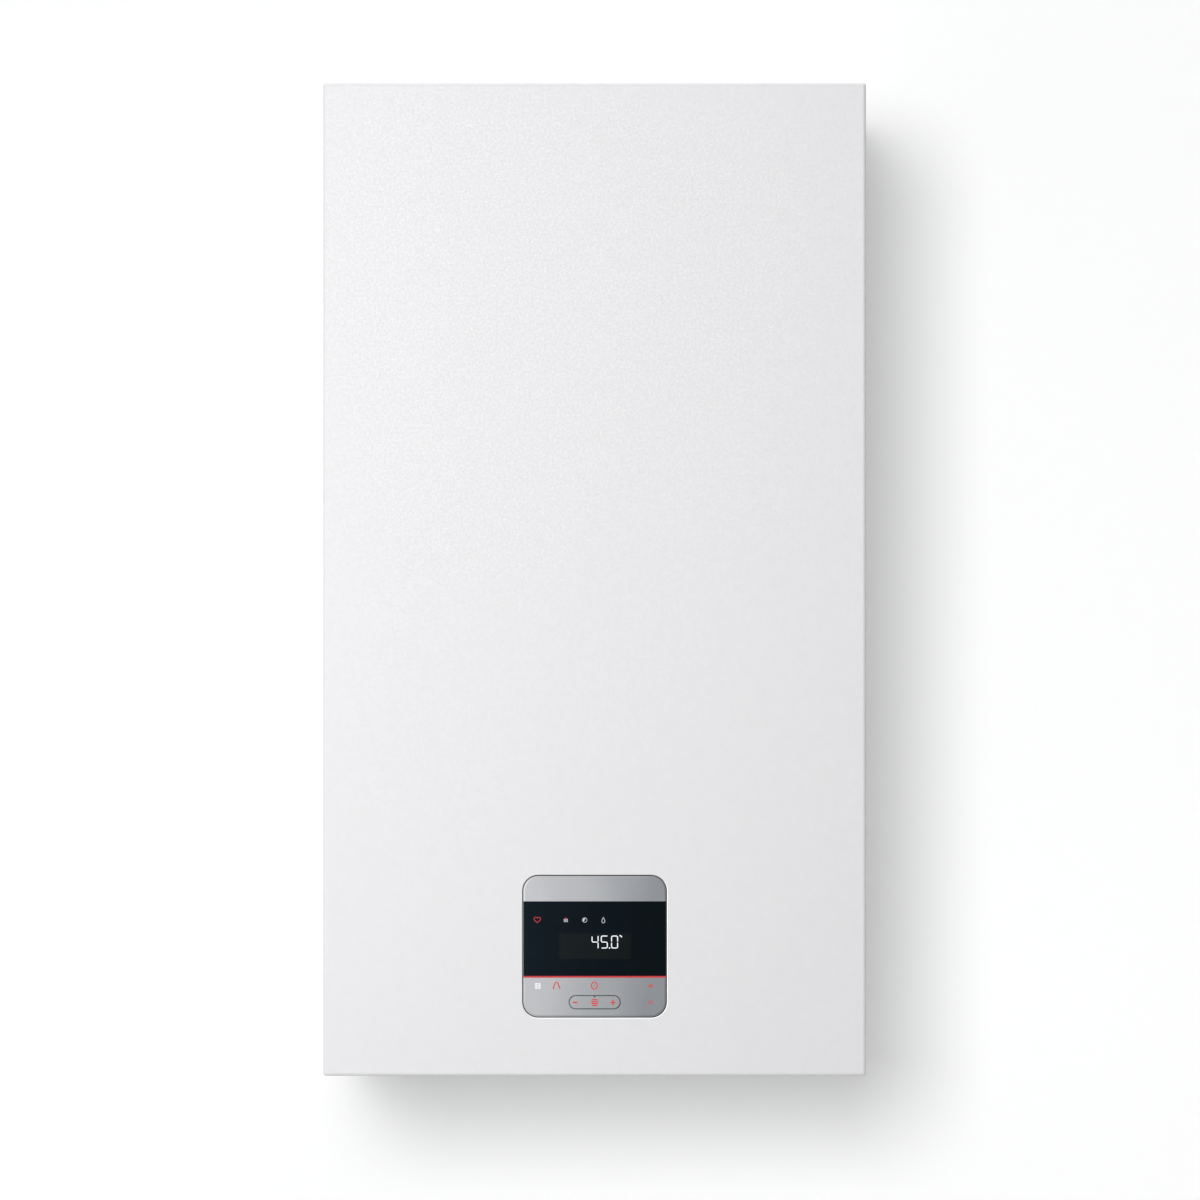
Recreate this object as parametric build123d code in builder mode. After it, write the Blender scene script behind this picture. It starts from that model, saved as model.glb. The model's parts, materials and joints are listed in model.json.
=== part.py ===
from build123d import *

# Wall-hung condensing combi boiler with a small built-in hot-water store, as separate pieces.
# Millimetres, +Z up, the room is on the -Y side. The origin lies on the wall, midway between the two
# fixing holes of the hanging bracket. "Depth" is the distance out from the wall, so y = -depth.

import math
import os

# ---------------------------------------------------------------- driving sizes
# Casing
CASE_WIDTH = 470.0
CASE_HEIGHT = 860.0
CASE_DEPTH = 570.0
SHEET = 1.0  # painted skin
PLATE = 1.2  # galvanised chassis
BEND_RADIUS = 2.5
TRAY_DEPTH = 32.0  # how far the front panel's edges turn back
TRAY_LIP = 22.0
SEAM = 2.0  # gap between front panel and sides, filled by the seal
SIDE_FLANGE = 26.0
EDGE_FLANGE = 12.0
RAIL_HEIGHT = 18.0  # stiffener across the inside of the front panel
SKIRT = 65.0  # casing below the base plate
BRACKET_DROP = 60.0  # fixing holes below the casing's top
WALL_GAP = 10.0
FIT = 0.3  # slip clearance between sheet-metal parts
SEAL_WIDTH = 8.0
SEAL_INSET = 14.0
LINER_THICKNESS = 8.0
STUD_RADIUS = 3.0
STUD_LENGTH = 14.0
STUD_INSET = 7.0
STUD_MARGIN = 40.0  # studs in from the casing's top and bottom
STUD_POINT = 1.5
BUSH_WALL = 1.6

# Hanging bracket
BRACKET_WIDTH = 340.0
BRACKET_HEIGHT = 50.0
BRACKET_PLATE = 2.5
FIXING_SPACING = 300.0
FIXING_RADIUS = 4.5
HOOK_SPACING = 220.0
HOOK_WIDTH = 50.0
HOOK_LIP = 11.0

# Hot-water store
TANK_GAP = 34.4  # between the two tanks
OVER_TANK = 57.8  # tank top below the roof
TANK_WALL = 1.5
TANK_DOME = 32.0
JACKET_WALL = 20.0
PORT_RADIUS = 11.0
PORT_LENGTH = 12.0
UNDER_TANK = 55.0  # tank bottom above the base plate

# Heat exchanger and burner
DRUM_RADIUS = 112.0
DRUM_SKIN = 5.0
DRUM_STANDOFF = 14.0
FLUE_ROOM = 88.0  # drum below the roof
FLANGE_WIDTH = 22.0  # ring that the burner door closes on
FLANGE_THICKNESS = 6.0
COIL_WIDTH = 28.0  # radial width of one flattened turn
COIL_PITCH = 24.0
COIL_GAP = 4.0
COIL_WALL = 1.0
DOOR_INSET = 7.0  # door's rim inside the drum's
DOOR_THICKNESS = 8.0
DOOR_STUDS = 5
DOOR_STUD_INSET = 15.0
DOOR_ROOM = 18.0  # from the drum's front to the fan
HUB_RADIUS = 42.0
BURNER_RADIUS = 32.0
BURNER_ROOM = 45.0  # behind the burner
BURNER_WALL = 1.0
LAGGING = 14.0  # burner door insulation

# Fan, gas and air
FAN_ROOM = 61.7  # fan shaft in from the side panel
FAN_THICKNESS = 45.0
SCROLL_START = 50.0
SCROLL_GROWTH = 4.0  # radius gained each quarter turn
IMPELLER_RADIUS = 42.0
BLADES = 12
FAN_WALL = 3.0
MOTOR_RADIUS = 35.0
MOTOR_LENGTH = 46.0
MOTOR_ROOM = 15.6  # from the motor to the front liner
MOTOR_FINS = 5
OUTLET_HEIGHT = 30.0
VENTURI_LENGTH = 60.0
VENTURI_MOUTH = 33.0
VENTURI_THROAT = 20.0
VALVE_WIDTH = 66.0
VALVE_HEIGHT = 90.0
VALVE_DEPTH = 58.0
VALVE_DROP = 16.0  # below the venturi
GAS_UNION = 12.0  # height of the gas pipe's union nuts
SILENCER_ROOM = 4.7  # beside the side panel
SILENCER_HEIGHT = 270.0
SILENCER_WALL = 2.5
INTAKE_PITCH = 18.0
INTAKE_SLOT = 8.0

# Flue
FLUE_RADIUS = 30.0  # outside of the flue pipe, bore of its socket
FLUE_WALL = 2.0
SOCKET_DEPTH = 40.0
SOCKET_STEP = 0.5  # the socket narrows below its mouth
AIR_RADIUS = 50.0  # outside of the air spigot
COLLAR_RISE = 11.0
COLLAR_FLANGE = 148.0
TEST_POINT_RADIUS = 7.0
TEST_POINT_RISE = 9.0

# Expansion vessel: its room to the floor, the roof, the middle frame, the liner, the drum and the side
VESSEL_BELOW = 30.0
VESSEL_ABOVE = 42.8
VESSEL_BEHIND = 25.0
VESSEL_BEFORE = 48.6
VESSEL_INSIDE = 27.0
VESSEL_OUTSIDE = 8.7
VESSEL_WALL = 1.5

# Pipework
STUB_PITCH = 75.0
STUB_LENGTH = 50.0
THREAD_LENGTH = 24.0
NECK_STEP = 1.2  # necks are this much slimmer than their threads
STUB_WALL = 2.5
HEATING_THREAD = 13.2  # G 3/4
WATER_THREAD = 10.5  # G 1/2
HEATING_PIPE = 11.0
WATER_PIPE = 7.5
GAS_PIPE = 9.0
PIPE_SET = 82.0  # pipe row in front of the middle frame
PLATE_PACK_LIFT = 125.0  # plate exchanger's middle above the base plate
PLATE_PACK_WIDTH = 190.0
PLATE_PACK_HEIGHT = 76.0
PLATE_PACK_DEPTH = 50.0
PUMP_RADIUS = 46.0
PUMP_THICKNESS = 36.0
PUMP_MOTOR_LENGTH = 78.0
PUMP_ROOM = 8.0  # between the pump and the return block's arm
PUMP_NECK = 8.0
TRAP_RADIUS = 28.0
TRAP_HEIGHT = 120.0

# Control box and its fascia
BOX_ROOM = 35.0  # the box's sides in from the casing's
BOX_HEIGHT = 205.0
BOX_DEPTH = 100.0
BOX_SETBACK = 12.0
BOX_WALL = 2.5
BOX_LIFT = 32.0  # box bottom above the casing's bottom
BASE_SETBACK = 12.0  # base plate's front edge behind the box
PIVOT_RADIUS = 4.0
PIVOT_PLAY = 0.08
PIVOT_INSET = 6.0  # from the box's lower rear edge
EAR_GAP = 1.0
EAR_THICKNESS = 3.0
FASCIA_WIDTH = 123.6
FASCIA_HEIGHT = 122.0
FASCIA_CORNER = 13.0
FASCIA_THICKNESS = 4.0
FASCIA_LIFT = 112.2  # fascia centre above the casing's bottom
FASCIA_GAP = 0.8
FASCIA_RECESS = 0.3
BEVEL_WIDTH = 1.4
BEVEL_RISE = 0.35
TOP_BAND = 22.0
LENS_HEIGHT = 64.7
ACCENT_HEIGHT = 1.5
KEY_WIDTH = 44.0
KEY_HEIGHT = 11.2
KEY_GAP = 0.6
KEY_RISE = 12.6  # key centre above the fascia's lower edge

# ---------------------------------------------------------------- derived places
TOP_Z = BRACKET_DROP
BOTTOM_Z = TOP_Z - CASE_HEIGHT
MIDDLE_Z = (TOP_Z + BOTTOM_Z) / 2
TRAY_BACK = CASE_DEPTH - TRAY_DEPTH
RIM_DEPTH = TRAY_BACK - SEAM
LINER_BACK = CASE_DEPTH - SHEET - LINER_THICKNESS
HALF_INSIDE = CASE_WIDTH / 2 - SHEET - FIT
ROOF_Z = TOP_Z - SHEET - PLATE
BASE_Z = BOTTOM_Z + SKIRT
BACK_FACE = WALL_GAP + PLATE

# the two tanks fill the width and the height behind the middle frame
INSULATION_X = HALF_INSIDE - PLATE - FIT
TANK_RADIUS = (INSULATION_X - JACKET_WALL - TANK_GAP / 2) / 2
TANK_X = TANK_RADIUS + TANK_GAP / 2
TANK_BOTTOM = BASE_Z + UNDER_TANK
TANK_TOP = ROOF_Z - OVER_TANK
TANK_DEPTH = BACK_FACE + JACKET_WALL + TANK_RADIUS
FRAME_FACE = TANK_DEPTH + TANK_RADIUS + JACKET_WALL + PLATE

# burner chamber: the fan keeps its distance from the front and the side, the drum hangs below the
# roof and takes the depth that is left, and the gas valve hangs below the fan
FAN_SIDE = HALF_INSIDE - FAN_ROOM
FAN_FRONT = LINER_BACK - MOTOR_ROOM - MOTOR_LENGTH
FAN_BACK = FAN_FRONT - FAN_THICKNESS
DRUM_FRONT = FAN_BACK - DOOR_ROOM
DRUM_BACK = FRAME_FACE + DRUM_STANDOFF
DRUM_LENGTH = DRUM_FRONT - DRUM_BACK
DRUM_Z = ROOF_Z - FLUE_ROOM - DRUM_RADIUS
FAN_RADII = [SCROLL_START + SCROLL_GROWTH * (quarter + 0.5) for quarter in (0, 1, 2)]
SCROLL_TOP = FAN_RADII[1] + FAN_RADII[2] - FAN_RADII[0]
FAN_Z = DRUM_Z - (SCROLL_TOP - OUTLET_HEIGHT / 2)
VALVE_TOP = FAN_Z - VENTURI_MOUTH - VALVE_DROP
VALVE_BOTTOM = VALVE_TOP - VALVE_HEIGHT

# pipework, stacked up from the base plate
PIPE_DEPTH = FRAME_FACE + PIPE_SET
PORT_RISE = 20.0  # exchanger ports above and below its middle
ARM_RADIUS = 12.0
PLATE_Z = BASE_Z + PLATE_PACK_LIFT
PORT_Z_HIGH = PLATE_Z + PORT_RISE
PORT_Z_LOW = PLATE_Z - PORT_RISE
PUMP_Z = PORT_Z_HIGH + ARM_RADIUS + PUMP_RADIUS + PUMP_ROOM
PUMP_TOP = PUMP_Z + PUMP_RADIUS
HEATING_BEND = 2 * HEATING_PIPE
RETURN_RUN_Z = PUMP_TOP + PUMP_NECK + 1.05 * HEATING_BEND

# the chamber's floor lies midway between the return pipe and the gas valve's union
FLOOR_Z = (RETURN_RUN_Z + HEATING_PIPE + VALVE_BOTTOM - GAS_UNION + PLATE) / 2

# control box
BOX_WIDTH = CASE_WIDTH - 2 * BOX_ROOM
BOX_FRONT = CASE_DEPTH - BOX_SETBACK
BOX_BACK = BOX_FRONT - BOX_DEPTH
BOX_BOTTOM = BOTTOM_Z + BOX_LIFT
BOX_TOP = BOX_BOTTOM + BOX_HEIGHT
BASE_FRONT = BOX_BACK - BASE_SETBACK
STUB_END = BASE_Z - STUB_LENGTH
PIVOT_DEPTH = BOX_BACK + PIVOT_INSET
PIVOT_Z = BOX_BOTTOM + PIVOT_INSET

# ---------------------------------------------------------------- helpers


def facing(depth):
    """Plane parallel to the wall: local x across, local y up, normal into the room."""
    return Plane.XZ.offset(depth)


def level(z):
    """Horizontal plane: local x across, local y towards the wall."""
    return Plane.XY.offset(z)


def upright(x):
    """Plane square to the wall at x: local x towards the wall, local y up."""
    return Plane.YZ.offset(x)


def spot(x, depth, z):
    """A point given across, out from the wall and up."""
    return Vector(x, -depth, z)


def block(x, depth, z, mode=Mode.ADD):
    """A box between limits, each a (low, high) pair, in the open part."""
    centre = spot(sum(x) / 2, sum(depth) / 2, sum(z) / 2)
    with Locations(centre):
        Box(x[1] - x[0], depth[1] - depth[0], z[1] - z[0], mode=mode)


def bar(start, end, radius, mode=Mode.ADD):
    """A round bar from start to end, in the open part."""
    run = end - start
    with Locations(Plane(origin=start, z_dir=run).location):
        Cylinder(radius, run.length, align=(Align.CENTER, Align.CENTER, Align.MIN), mode=mode)


def hexagon(start, end, across_flats):
    """A hexagonal bar from start to end, in the open part."""
    run = end - start
    with BuildSketch(Plane(origin=start, z_dir=run)) as section:
        RegularPolygon(radius=across_flats / 2, side_count=6, major_radius=False)
    extrude(section.sketch, amount=run.length)


def bent_pipe(points, radius, bend):
    """A round pipe through the points, its corners bent to one radius, in the open part."""
    with BuildLine() as route:
        FilletPolyline(*points, radius=bend)
    with BuildSketch(Plane(origin=route.line @ 0, z_dir=route.line % 0)) as section:
        Circle(radius)
    sweep(section.sketch, path=route.line)


def dished_vessel(x, depth, radius, bottom, top, dome, mode=Mode.ADD):
    """An upright round vessel with dished ends, in the open part."""
    with BuildSketch(facing(depth)) as half:
        with BuildLine():
            TangentArc((x, bottom), (x + radius, bottom + dome), tangent=(1, 0))
            Line((x + radius, bottom + dome), (x + radius, top - dome))
            TangentArc((x, top), (x + radius, top - dome), tangent=(1, 0))
            Line((x, top), (x, bottom))
        make_face()
    revolve(half.sketch, axis=Axis(spot(x, depth, 0), (0, 0, 1)), mode=mode)


def stub(x, depth, thread):
    """A connection below the base plate, a neck and its threaded end, in the open part."""
    thread_top = STUB_END + THREAD_LENGTH
    bar(spot(x, depth, thread_top), spot(x, depth, BASE_Z), thread - NECK_STEP)
    bar(spot(x, depth, STUB_END), spot(x, depth, thread_top), thread)


def stub_bore(x, depth, radius):
    """The open end of a connection, cut from the open part."""
    bar(spot(x, depth, STUB_END), spot(x, depth, STUB_END + THREAD_LENGTH), radius, Mode.SUBTRACT)


def mirrored(value):
    """The value on both sides of the middle."""
    return (-value, value)


# ---------------------------------------------------------------- casing

FASCIA_Z = BOTTOM_Z + FASCIA_LIFT
RAIL_Z = FLOOR_Z - PLATE - RAIL_HEIGHT / 2
STUD_X = CASE_WIDTH / 2 - STUD_INSET
STUD_PLACES = [(x, z) for x in mirrored(STUD_X) for z in (TOP_Z - STUD_MARGIN, BOTTOM_Z + STUD_MARGIN)]

with BuildPart() as front_panel:
    with BuildSketch(facing(TRAY_BACK)):
        with Locations((0, MIDDLE_Z)):
            Rectangle(CASE_WIDTH, CASE_HEIGHT)
    extrude(amount=TRAY_DEPTH)
    outer_edges = front_panel.faces().sort_by(Axis.Y)[0].edges() + front_panel.edges().filter_by(Axis.Y)
    fillet(outer_edges, BEND_RADIUS)
    with BuildSketch(facing(CASE_DEPTH - SHEET)):
        with Locations((0, MIDDLE_Z)):
            Rectangle(CASE_WIDTH - 2 * SHEET, CASE_HEIGHT - 2 * SHEET)
    extrude(amount=2 * SHEET - TRAY_DEPTH, mode=Mode.SUBTRACT)
    with BuildSketch(facing(TRAY_BACK)):
        with Locations((0, MIDDLE_Z)):
            Rectangle(CASE_WIDTH - 2 * (SHEET + TRAY_LIP), CASE_HEIGHT - 2 * (SHEET + TRAY_LIP))
    extrude(amount=SHEET, mode=Mode.SUBTRACT)
    # the window that the fascia shows through, with its edge rolled inwards
    with BuildSketch(facing(CASE_DEPTH)):
        with Locations((0, FASCIA_Z)):
            RectangleRounded(
                FASCIA_WIDTH + 2 * FASCIA_GAP, FASCIA_HEIGHT + 2 * FASCIA_GAP, FASCIA_CORNER + FASCIA_GAP
            )
    extrude(amount=-SHEET, mode=Mode.SUBTRACT)
    window_edges = front_panel.faces().sort_by(Axis.Y)[0].inner_wires()[0].edges()
    fillet(window_edges, SHEET * 0.7)
    # stiffening rail: a channel across the inside that presses on the seal
    rail_half = CASE_WIDTH / 2 - SHEET - TRAY_LIP - FIT
    with BuildSketch(upright(-rail_half)):
        with Locations((-(TRAY_BACK + CASE_DEPTH - SHEET) / 2, RAIL_Z)):
            Rectangle(TRAY_DEPTH - SHEET, RAIL_HEIGHT)
        with Locations((-(TRAY_BACK + CASE_DEPTH) / 2, RAIL_Z)):
            Rectangle(TRAY_DEPTH - 2 * SHEET, RAIL_HEIGHT - 2 * SHEET, mode=Mode.SUBTRACT)
    extrude(amount=2 * rail_half)
    # welded studs that plug into the bushes of the side panels
    with BuildSketch(facing(TRAY_BACK)):
        with Locations(*STUD_PLACES):
            Circle(STUD_RADIUS)
    extrude(amount=-STUD_LENGTH)
    chamfer(front_panel.faces().sort_by(Axis.Y)[-4:].edges(), STUD_POINT)

with BuildPart() as front_liner:
    liner_bottom = RAIL_Z + RAIL_HEIGHT / 2 + 6 * SHEET
    liner_top = TOP_Z - SHEET - TRAY_LIP
    with BuildSketch(facing(CASE_DEPTH - SHEET)):
        with Locations((0, (liner_bottom + liner_top) / 2)):
            RectangleRounded(2 * rail_half, liner_top - liner_bottom, LINER_THICKNESS)
    extrude(amount=-LINER_THICKNESS)
    chamfer(front_liner.faces().sort_by(Axis.Y)[-1].edges(), LINER_THICKNESS / 3)

with BuildPart() as side_panel_right:
    with BuildSketch(facing(0)):
        with Locations((CASE_WIDTH / 2 - SIDE_FLANGE / 2, MIDDLE_Z)):
            Rectangle(SIDE_FLANGE, CASE_HEIGHT)
    extrude(amount=RIM_DEPTH)
    fillet(side_panel_right.edges().filter_by(Axis.Y).sort_by(Axis.X)[-2:], BEND_RADIUS)
    # leaves the skin, the front flange, and short flanges at top and bottom
    with BuildSketch(facing(0)):
        with Locations((CASE_WIDTH / 2 - SHEET - SIDE_FLANGE / 2, MIDDLE_Z)):
            Rectangle(SIDE_FLANGE, CASE_HEIGHT - 2 * SHEET)
    extrude(amount=RIM_DEPTH - SHEET, mode=Mode.SUBTRACT)
    with BuildSketch(facing(0)):
        with Locations((CASE_WIDTH / 2 - EDGE_FLANGE - SIDE_FLANGE / 2, MIDDLE_Z)):
            Rectangle(SIDE_FLANGE, CASE_HEIGHT)
    extrude(amount=RIM_DEPTH - SHEET, mode=Mode.SUBTRACT)
    with BuildSketch(facing(RIM_DEPTH - SHEET)):
        with Locations(*[place for place in STUD_PLACES if place[0] > 0]):
            Circle(STUD_RADIUS + BUSH_WALL)
    extrude(amount=SHEET, mode=Mode.SUBTRACT)

with BuildPart() as side_panel_left:
    mirror(side_panel_right.part, about=Plane.YZ)

with BuildPart() as stud_bushes:
    with BuildSketch(facing(RIM_DEPTH - STUD_LENGTH)):
        with Locations(*STUD_PLACES):
            Circle(STUD_RADIUS + BUSH_WALL)
    extrude(amount=STUD_LENGTH)
    with BuildSketch(facing(RIM_DEPTH)):
        with Locations(*STUD_PLACES):
            Circle(STUD_RADIUS + 1.6 * BUSH_WALL)
    extrude(amount=SEAM / 2)
    with BuildSketch(facing(RIM_DEPTH - STUD_LENGTH)):
        with Locations(*STUD_PLACES):
            Circle(STUD_RADIUS + FIT / 2)
    extrude(amount=STUD_LENGTH + SEAM, mode=Mode.SUBTRACT)

with BuildPart() as chamber_seal:
    seal_top = TOP_Z - SEAL_INSET
    seal_bottom = RAIL_Z - SEAL_WIDTH / 2
    with BuildSketch(facing(RIM_DEPTH)):
        with Locations((0, (seal_top + seal_bottom) / 2)):
            Rectangle(CASE_WIDTH - 2 * SEAL_INSET, seal_top - seal_bottom)
            Rectangle(
                CASE_WIDTH - 2 * (SEAL_INSET + SEAL_WIDTH),
                seal_top - seal_bottom - 2 * SEAL_WIDTH,
                mode=Mode.SUBTRACT,
            )
    extrude(amount=SEAM)

# ---------------------------------------------------------------- chassis

FLANGE_HALF = CASE_WIDTH / 2 - SIDE_FLANGE - 1.0  # between the side panels' front flanges
FLANGE_DROP = 24.0
TANK_PIPE_Z = BASE_Z + 22.0
DRUM_TOP = DRUM_Z + DRUM_RADIUS
DRUM_BOTTOM = DRUM_Z - DRUM_RADIUS
FLUE_DEPTH = DRUM_BACK + FLUE_RADIUS + 2.4 * DRUM_SKIN
INNER_SOCKET = FLUE_RADIUS - SOCKET_STEP
STUB_X = [STUB_PITCH * place for place in (-2, -1, 0, 1, 2)]
FLOW_X, HOT_X, GAS_X, COLD_X, RETURN_X = STUB_X
RISER_X = 60.0  # the exchanger's two water pipes
VALVE_FRONT = FAN_BACK
VALVE_MIDDLE = VALVE_FRONT - VALVE_DEPTH / 2
TRAP_X = -40.0
TRAP_DEPTH = BOX_BACK - 43.0
VESSEL_BOTTOM = FLOOR_Z + VESSEL_BELOW
VESSEL_TOP = ROOF_Z - VESSEL_ABOVE
VESSEL_HEIGHT = VESSEL_TOP - VESSEL_BOTTOM
VESSEL_MIDDLE = (VESSEL_BOTTOM + VESSEL_TOP) / 2
VESSEL_SPAN = LINER_BACK - VESSEL_BEFORE - VESSEL_BEHIND - FRAME_FACE
VESSEL_DEPTH = FRAME_FACE + VESSEL_BEHIND + VESSEL_SPAN / 2
VESSEL_THICKNESS = HALF_INSIDE - VESSEL_OUTSIDE - VESSEL_INSIDE - DRUM_RADIUS
VESSEL_X = -(DRUM_RADIUS + VESSEL_INSIDE + VESSEL_THICKNESS / 2)
HOSE_RADIUS = 6.0
DISCHARGE_X = HALF_INSIDE - 29.7
DISCHARGE_PIPE = 7.5
GLAND_X = 28.7 - HALF_INSIDE
GLAND_DEPTH = BASE_FRONT - 56.6
GLAND_BORE = 4.0
HOLE_PLAY = 2.0
ROD_RADIUS = 3.0  # valve stems
ROD_PLAY = 0.08
FILL_X = (COLD_X + RETURN_X) / 2
FOAM_END = 18.0  # foam above and below the tanks
SEAM_RISE = 4.0  # rolled seam of the expansion vessel
SADDLE = 8.0
BASE_FLANGE = 14.0
EAR_ROOT = 40.0


def tank_pipe_crossing(side):
    """Where a tank pipe on this side (-1 or 1) passes the middle frame's plane."""
    share = (FRAME_FACE - TANK_DEPTH) / (PIPE_DEPTH - TANK_DEPTH)
    return side * (TANK_X + (COLD_X - TANK_X) * share)


with BuildPart() as top_panel:
    with BuildSketch(level(ROOF_Z)):
        with Locations((0, -(RIM_DEPTH - SHEET - FIT) / 2)):
            Rectangle(2 * HALF_INSIDE, RIM_DEPTH - SHEET - FIT)
        with Locations((0, -RIM_DEPTH / 2)):
            Rectangle(2 * FLANGE_HALF, RIM_DEPTH)
        with Locations((0, -FLUE_DEPTH)):
            Circle(AIR_RADIUS + FIT, mode=Mode.SUBTRACT)
    extrude(amount=PLATE)
    with BuildSketch(facing(RIM_DEPTH - PLATE)):
        with Locations((0, ROOF_Z - FLANGE_DROP / 2)):
            Rectangle(2 * FLANGE_HALF, FLANGE_DROP)
    extrude(amount=PLATE)

with BuildPart() as back_plate:
    plate_bottom = BOTTOM_Z + SHEET + FIT
    plate_top = ROOF_Z
    plate_middle = (plate_bottom + plate_top) / 2
    with BuildSketch(facing(0)):
        with Locations((0, plate_middle)):
            Rectangle(2 * HALF_INSIDE, plate_top - plate_bottom)
    extrude(amount=BACK_FACE)
    with BuildSketch(facing(0)):
        with Locations((0, plate_middle)):
            Rectangle(2 * (HALF_INSIDE - PLATE), plate_top - plate_bottom - 2 * PLATE)
    extrude(amount=WALL_GAP, mode=Mode.SUBTRACT)
    # pressed stiffening ribs
    with BuildSketch(facing(WALL_GAP - 4 * PLATE)):
        with Locations((0, plate_middle - 60)):
            with GridLocations(120, 0, 3, 1):
                SlotOverall(0.62 * (plate_top - plate_bottom), 18, rotation=90)
    extrude(amount=4 * PLATE, taper=-20)
    with BuildSketch(facing(BACK_FACE)):
        with Locations((0, plate_middle - 60)):
            with GridLocations(120, 0, 3, 1):
                SlotOverall(0.62 * (plate_top - plate_bottom) - 4, 14, rotation=90)
    extrude(amount=-4 * PLATE, mode=Mode.SUBTRACT)
    # windows for the bracket's hooks; their upper edges carry the boiler
    with BuildSketch(facing(WALL_GAP)):
        with Locations((0, 0)):
            with GridLocations(HOOK_SPACING, 0, 2, 1):
                Rectangle(HOOK_WIDTH + 12, BRACKET_HEIGHT)
    extrude(amount=PLATE, mode=Mode.SUBTRACT)

with BuildPart() as wall_bracket:
    with BuildSketch(facing(0)):
        Rectangle(BRACKET_WIDTH, BRACKET_HEIGHT)
        with GridLocations(FIXING_SPACING, 0, 2, 1):
            Circle(FIXING_RADIUS, mode=Mode.SUBTRACT)
    extrude(amount=BRACKET_PLATE)
    hook_reach = BACK_FACE + 2 * BRACKET_PLATE
    hook_seat = BRACKET_HEIGHT / 2 - BRACKET_PLATE
    for side in mirrored(HOOK_SPACING / 2):
        with BuildSketch(upright(side - HOOK_WIDTH / 2)):
            with BuildLine():
                Polyline(
                    (-BRACKET_PLATE, hook_seat),
                    (-hook_reach, hook_seat),
                    (-hook_reach, hook_seat + BRACKET_PLATE + HOOK_LIP),
                    (-hook_reach + BRACKET_PLATE, hook_seat + BRACKET_PLATE + HOOK_LIP),
                    (-hook_reach + BRACKET_PLATE, hook_seat + BRACKET_PLATE),
                    (-BRACKET_PLATE, hook_seat + BRACKET_PLATE),
                    close=True,
                )
            make_face()
        extrude(amount=HOOK_WIDTH)

with BuildPart() as base_plate:
    with BuildSketch(level(BASE_Z)):
        with Locations((0, -(BACK_FACE + BASE_FRONT) / 2)):
            Rectangle(2 * HALF_INSIDE, BASE_FRONT - BACK_FACE)
        with Locations(*[(x, -PIPE_DEPTH) for x in STUB_X]):
            Circle(HEATING_THREAD + HOLE_PLAY, mode=Mode.SUBTRACT)
        with Locations((DISCHARGE_X, -PIPE_DEPTH)):
            Circle(DISCHARGE_PIPE + HOLE_PLAY, mode=Mode.SUBTRACT)
        with Locations((TRAP_X, -TRAP_DEPTH)):
            Circle(TRAP_RADIUS * 0.5 + HOLE_PLAY, mode=Mode.SUBTRACT)
        with Locations((GLAND_X, -GLAND_DEPTH)):
            Circle(2 * GLAND_BORE, mode=Mode.SUBTRACT)
        with Locations((FILL_X, -PIPE_DEPTH)):
            Circle(ROD_RADIUS + HOLE_PLAY, mode=Mode.SUBTRACT)
    extrude(amount=-PLATE)
    with BuildSketch(facing(BASE_FRONT - PLATE)):
        with Locations((0, BASE_Z - BASE_FLANGE / 2)):
            Rectangle(2 * HALF_INSIDE, BASE_FLANGE)
    extrude(amount=PLATE)
    # ears that carry the control box's pivots
    for x in (BOX_WIDTH / 2 + EAR_GAP, -BOX_WIDTH / 2 - EAR_GAP - EAR_THICKNESS):
        with BuildSketch(upright(x)):
            with BuildLine():
                ear_reach = 2.4 * PIVOT_RADIUS
                Polyline(
                    (-BASE_FRONT + EAR_ROOT, BASE_Z - PLATE / 2),
                    (-BASE_FRONT, BASE_Z - PLATE / 2),
                    (-PIVOT_DEPTH - ear_reach, PIVOT_Z + ear_reach),
                    (-PIVOT_DEPTH - ear_reach, PIVOT_Z - ear_reach),
                    (-PIVOT_DEPTH + ear_reach, PIVOT_Z - ear_reach),
                    close=True,
                )
            make_face()
            with Locations((-PIVOT_DEPTH, PIVOT_Z)):
                Circle(PIVOT_RADIUS + PIVOT_PLAY, mode=Mode.SUBTRACT)
        extrude(amount=EAR_THICKNESS)

with BuildPart() as middle_frame:
    with BuildSketch(facing(FRAME_FACE - PLATE)):
        with Locations((0, (BASE_Z + ROOF_Z) / 2)):
            Rectangle(2 * HALF_INSIDE, ROOF_Z - BASE_Z)
        with Locations(*[(tank_pipe_crossing(side), TANK_PIPE_Z) for side in (-1, 1)]):
            Circle(WATER_PIPE + 2 * HOLE_PLAY, mode=Mode.SUBTRACT)
    extrude(amount=PLATE)
    # rearward flanges that carry the side panels
    for side in (-1, 1):
        with BuildSketch(level(BASE_Z)):
            with Locations((side * (HALF_INSIDE - PLATE / 2), PLATE / 2 - FRAME_FACE + 8)):
                Rectangle(PLATE, 16 + PLATE)
        extrude(amount=ROOF_Z - BASE_Z)
    # shelf under the hot-water store
    shelf_top = TANK_BOTTOM - FOAM_END
    with BuildSketch(level(shelf_top)):
        with Locations((0, -(BACK_FACE + FRAME_FACE) / 2)):
            Rectangle(2 * (HALF_INSIDE - PLATE), FRAME_FACE - BACK_FACE)
        with Locations(*[(side * TANK_X, -TANK_DEPTH) for side in (-1, 1)]):
            Circle(PORT_RADIUS + HOLE_PLAY, mode=Mode.SUBTRACT)
    extrude(amount=-PLATE)
    # saddles behind the expansion vessel
    for z in mirrored(VESSEL_HEIGHT / 6):
        middle = VESSEL_MIDDLE + z
        block(
            (VESSEL_X - 2 * SADDLE, VESSEL_X + 2 * SADDLE),
            (FRAME_FACE, VESSEL_DEPTH - VESSEL_SPAN / 2 - SEAM_RISE),
            (middle - SADDLE, middle + SADDLE),
        )

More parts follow.
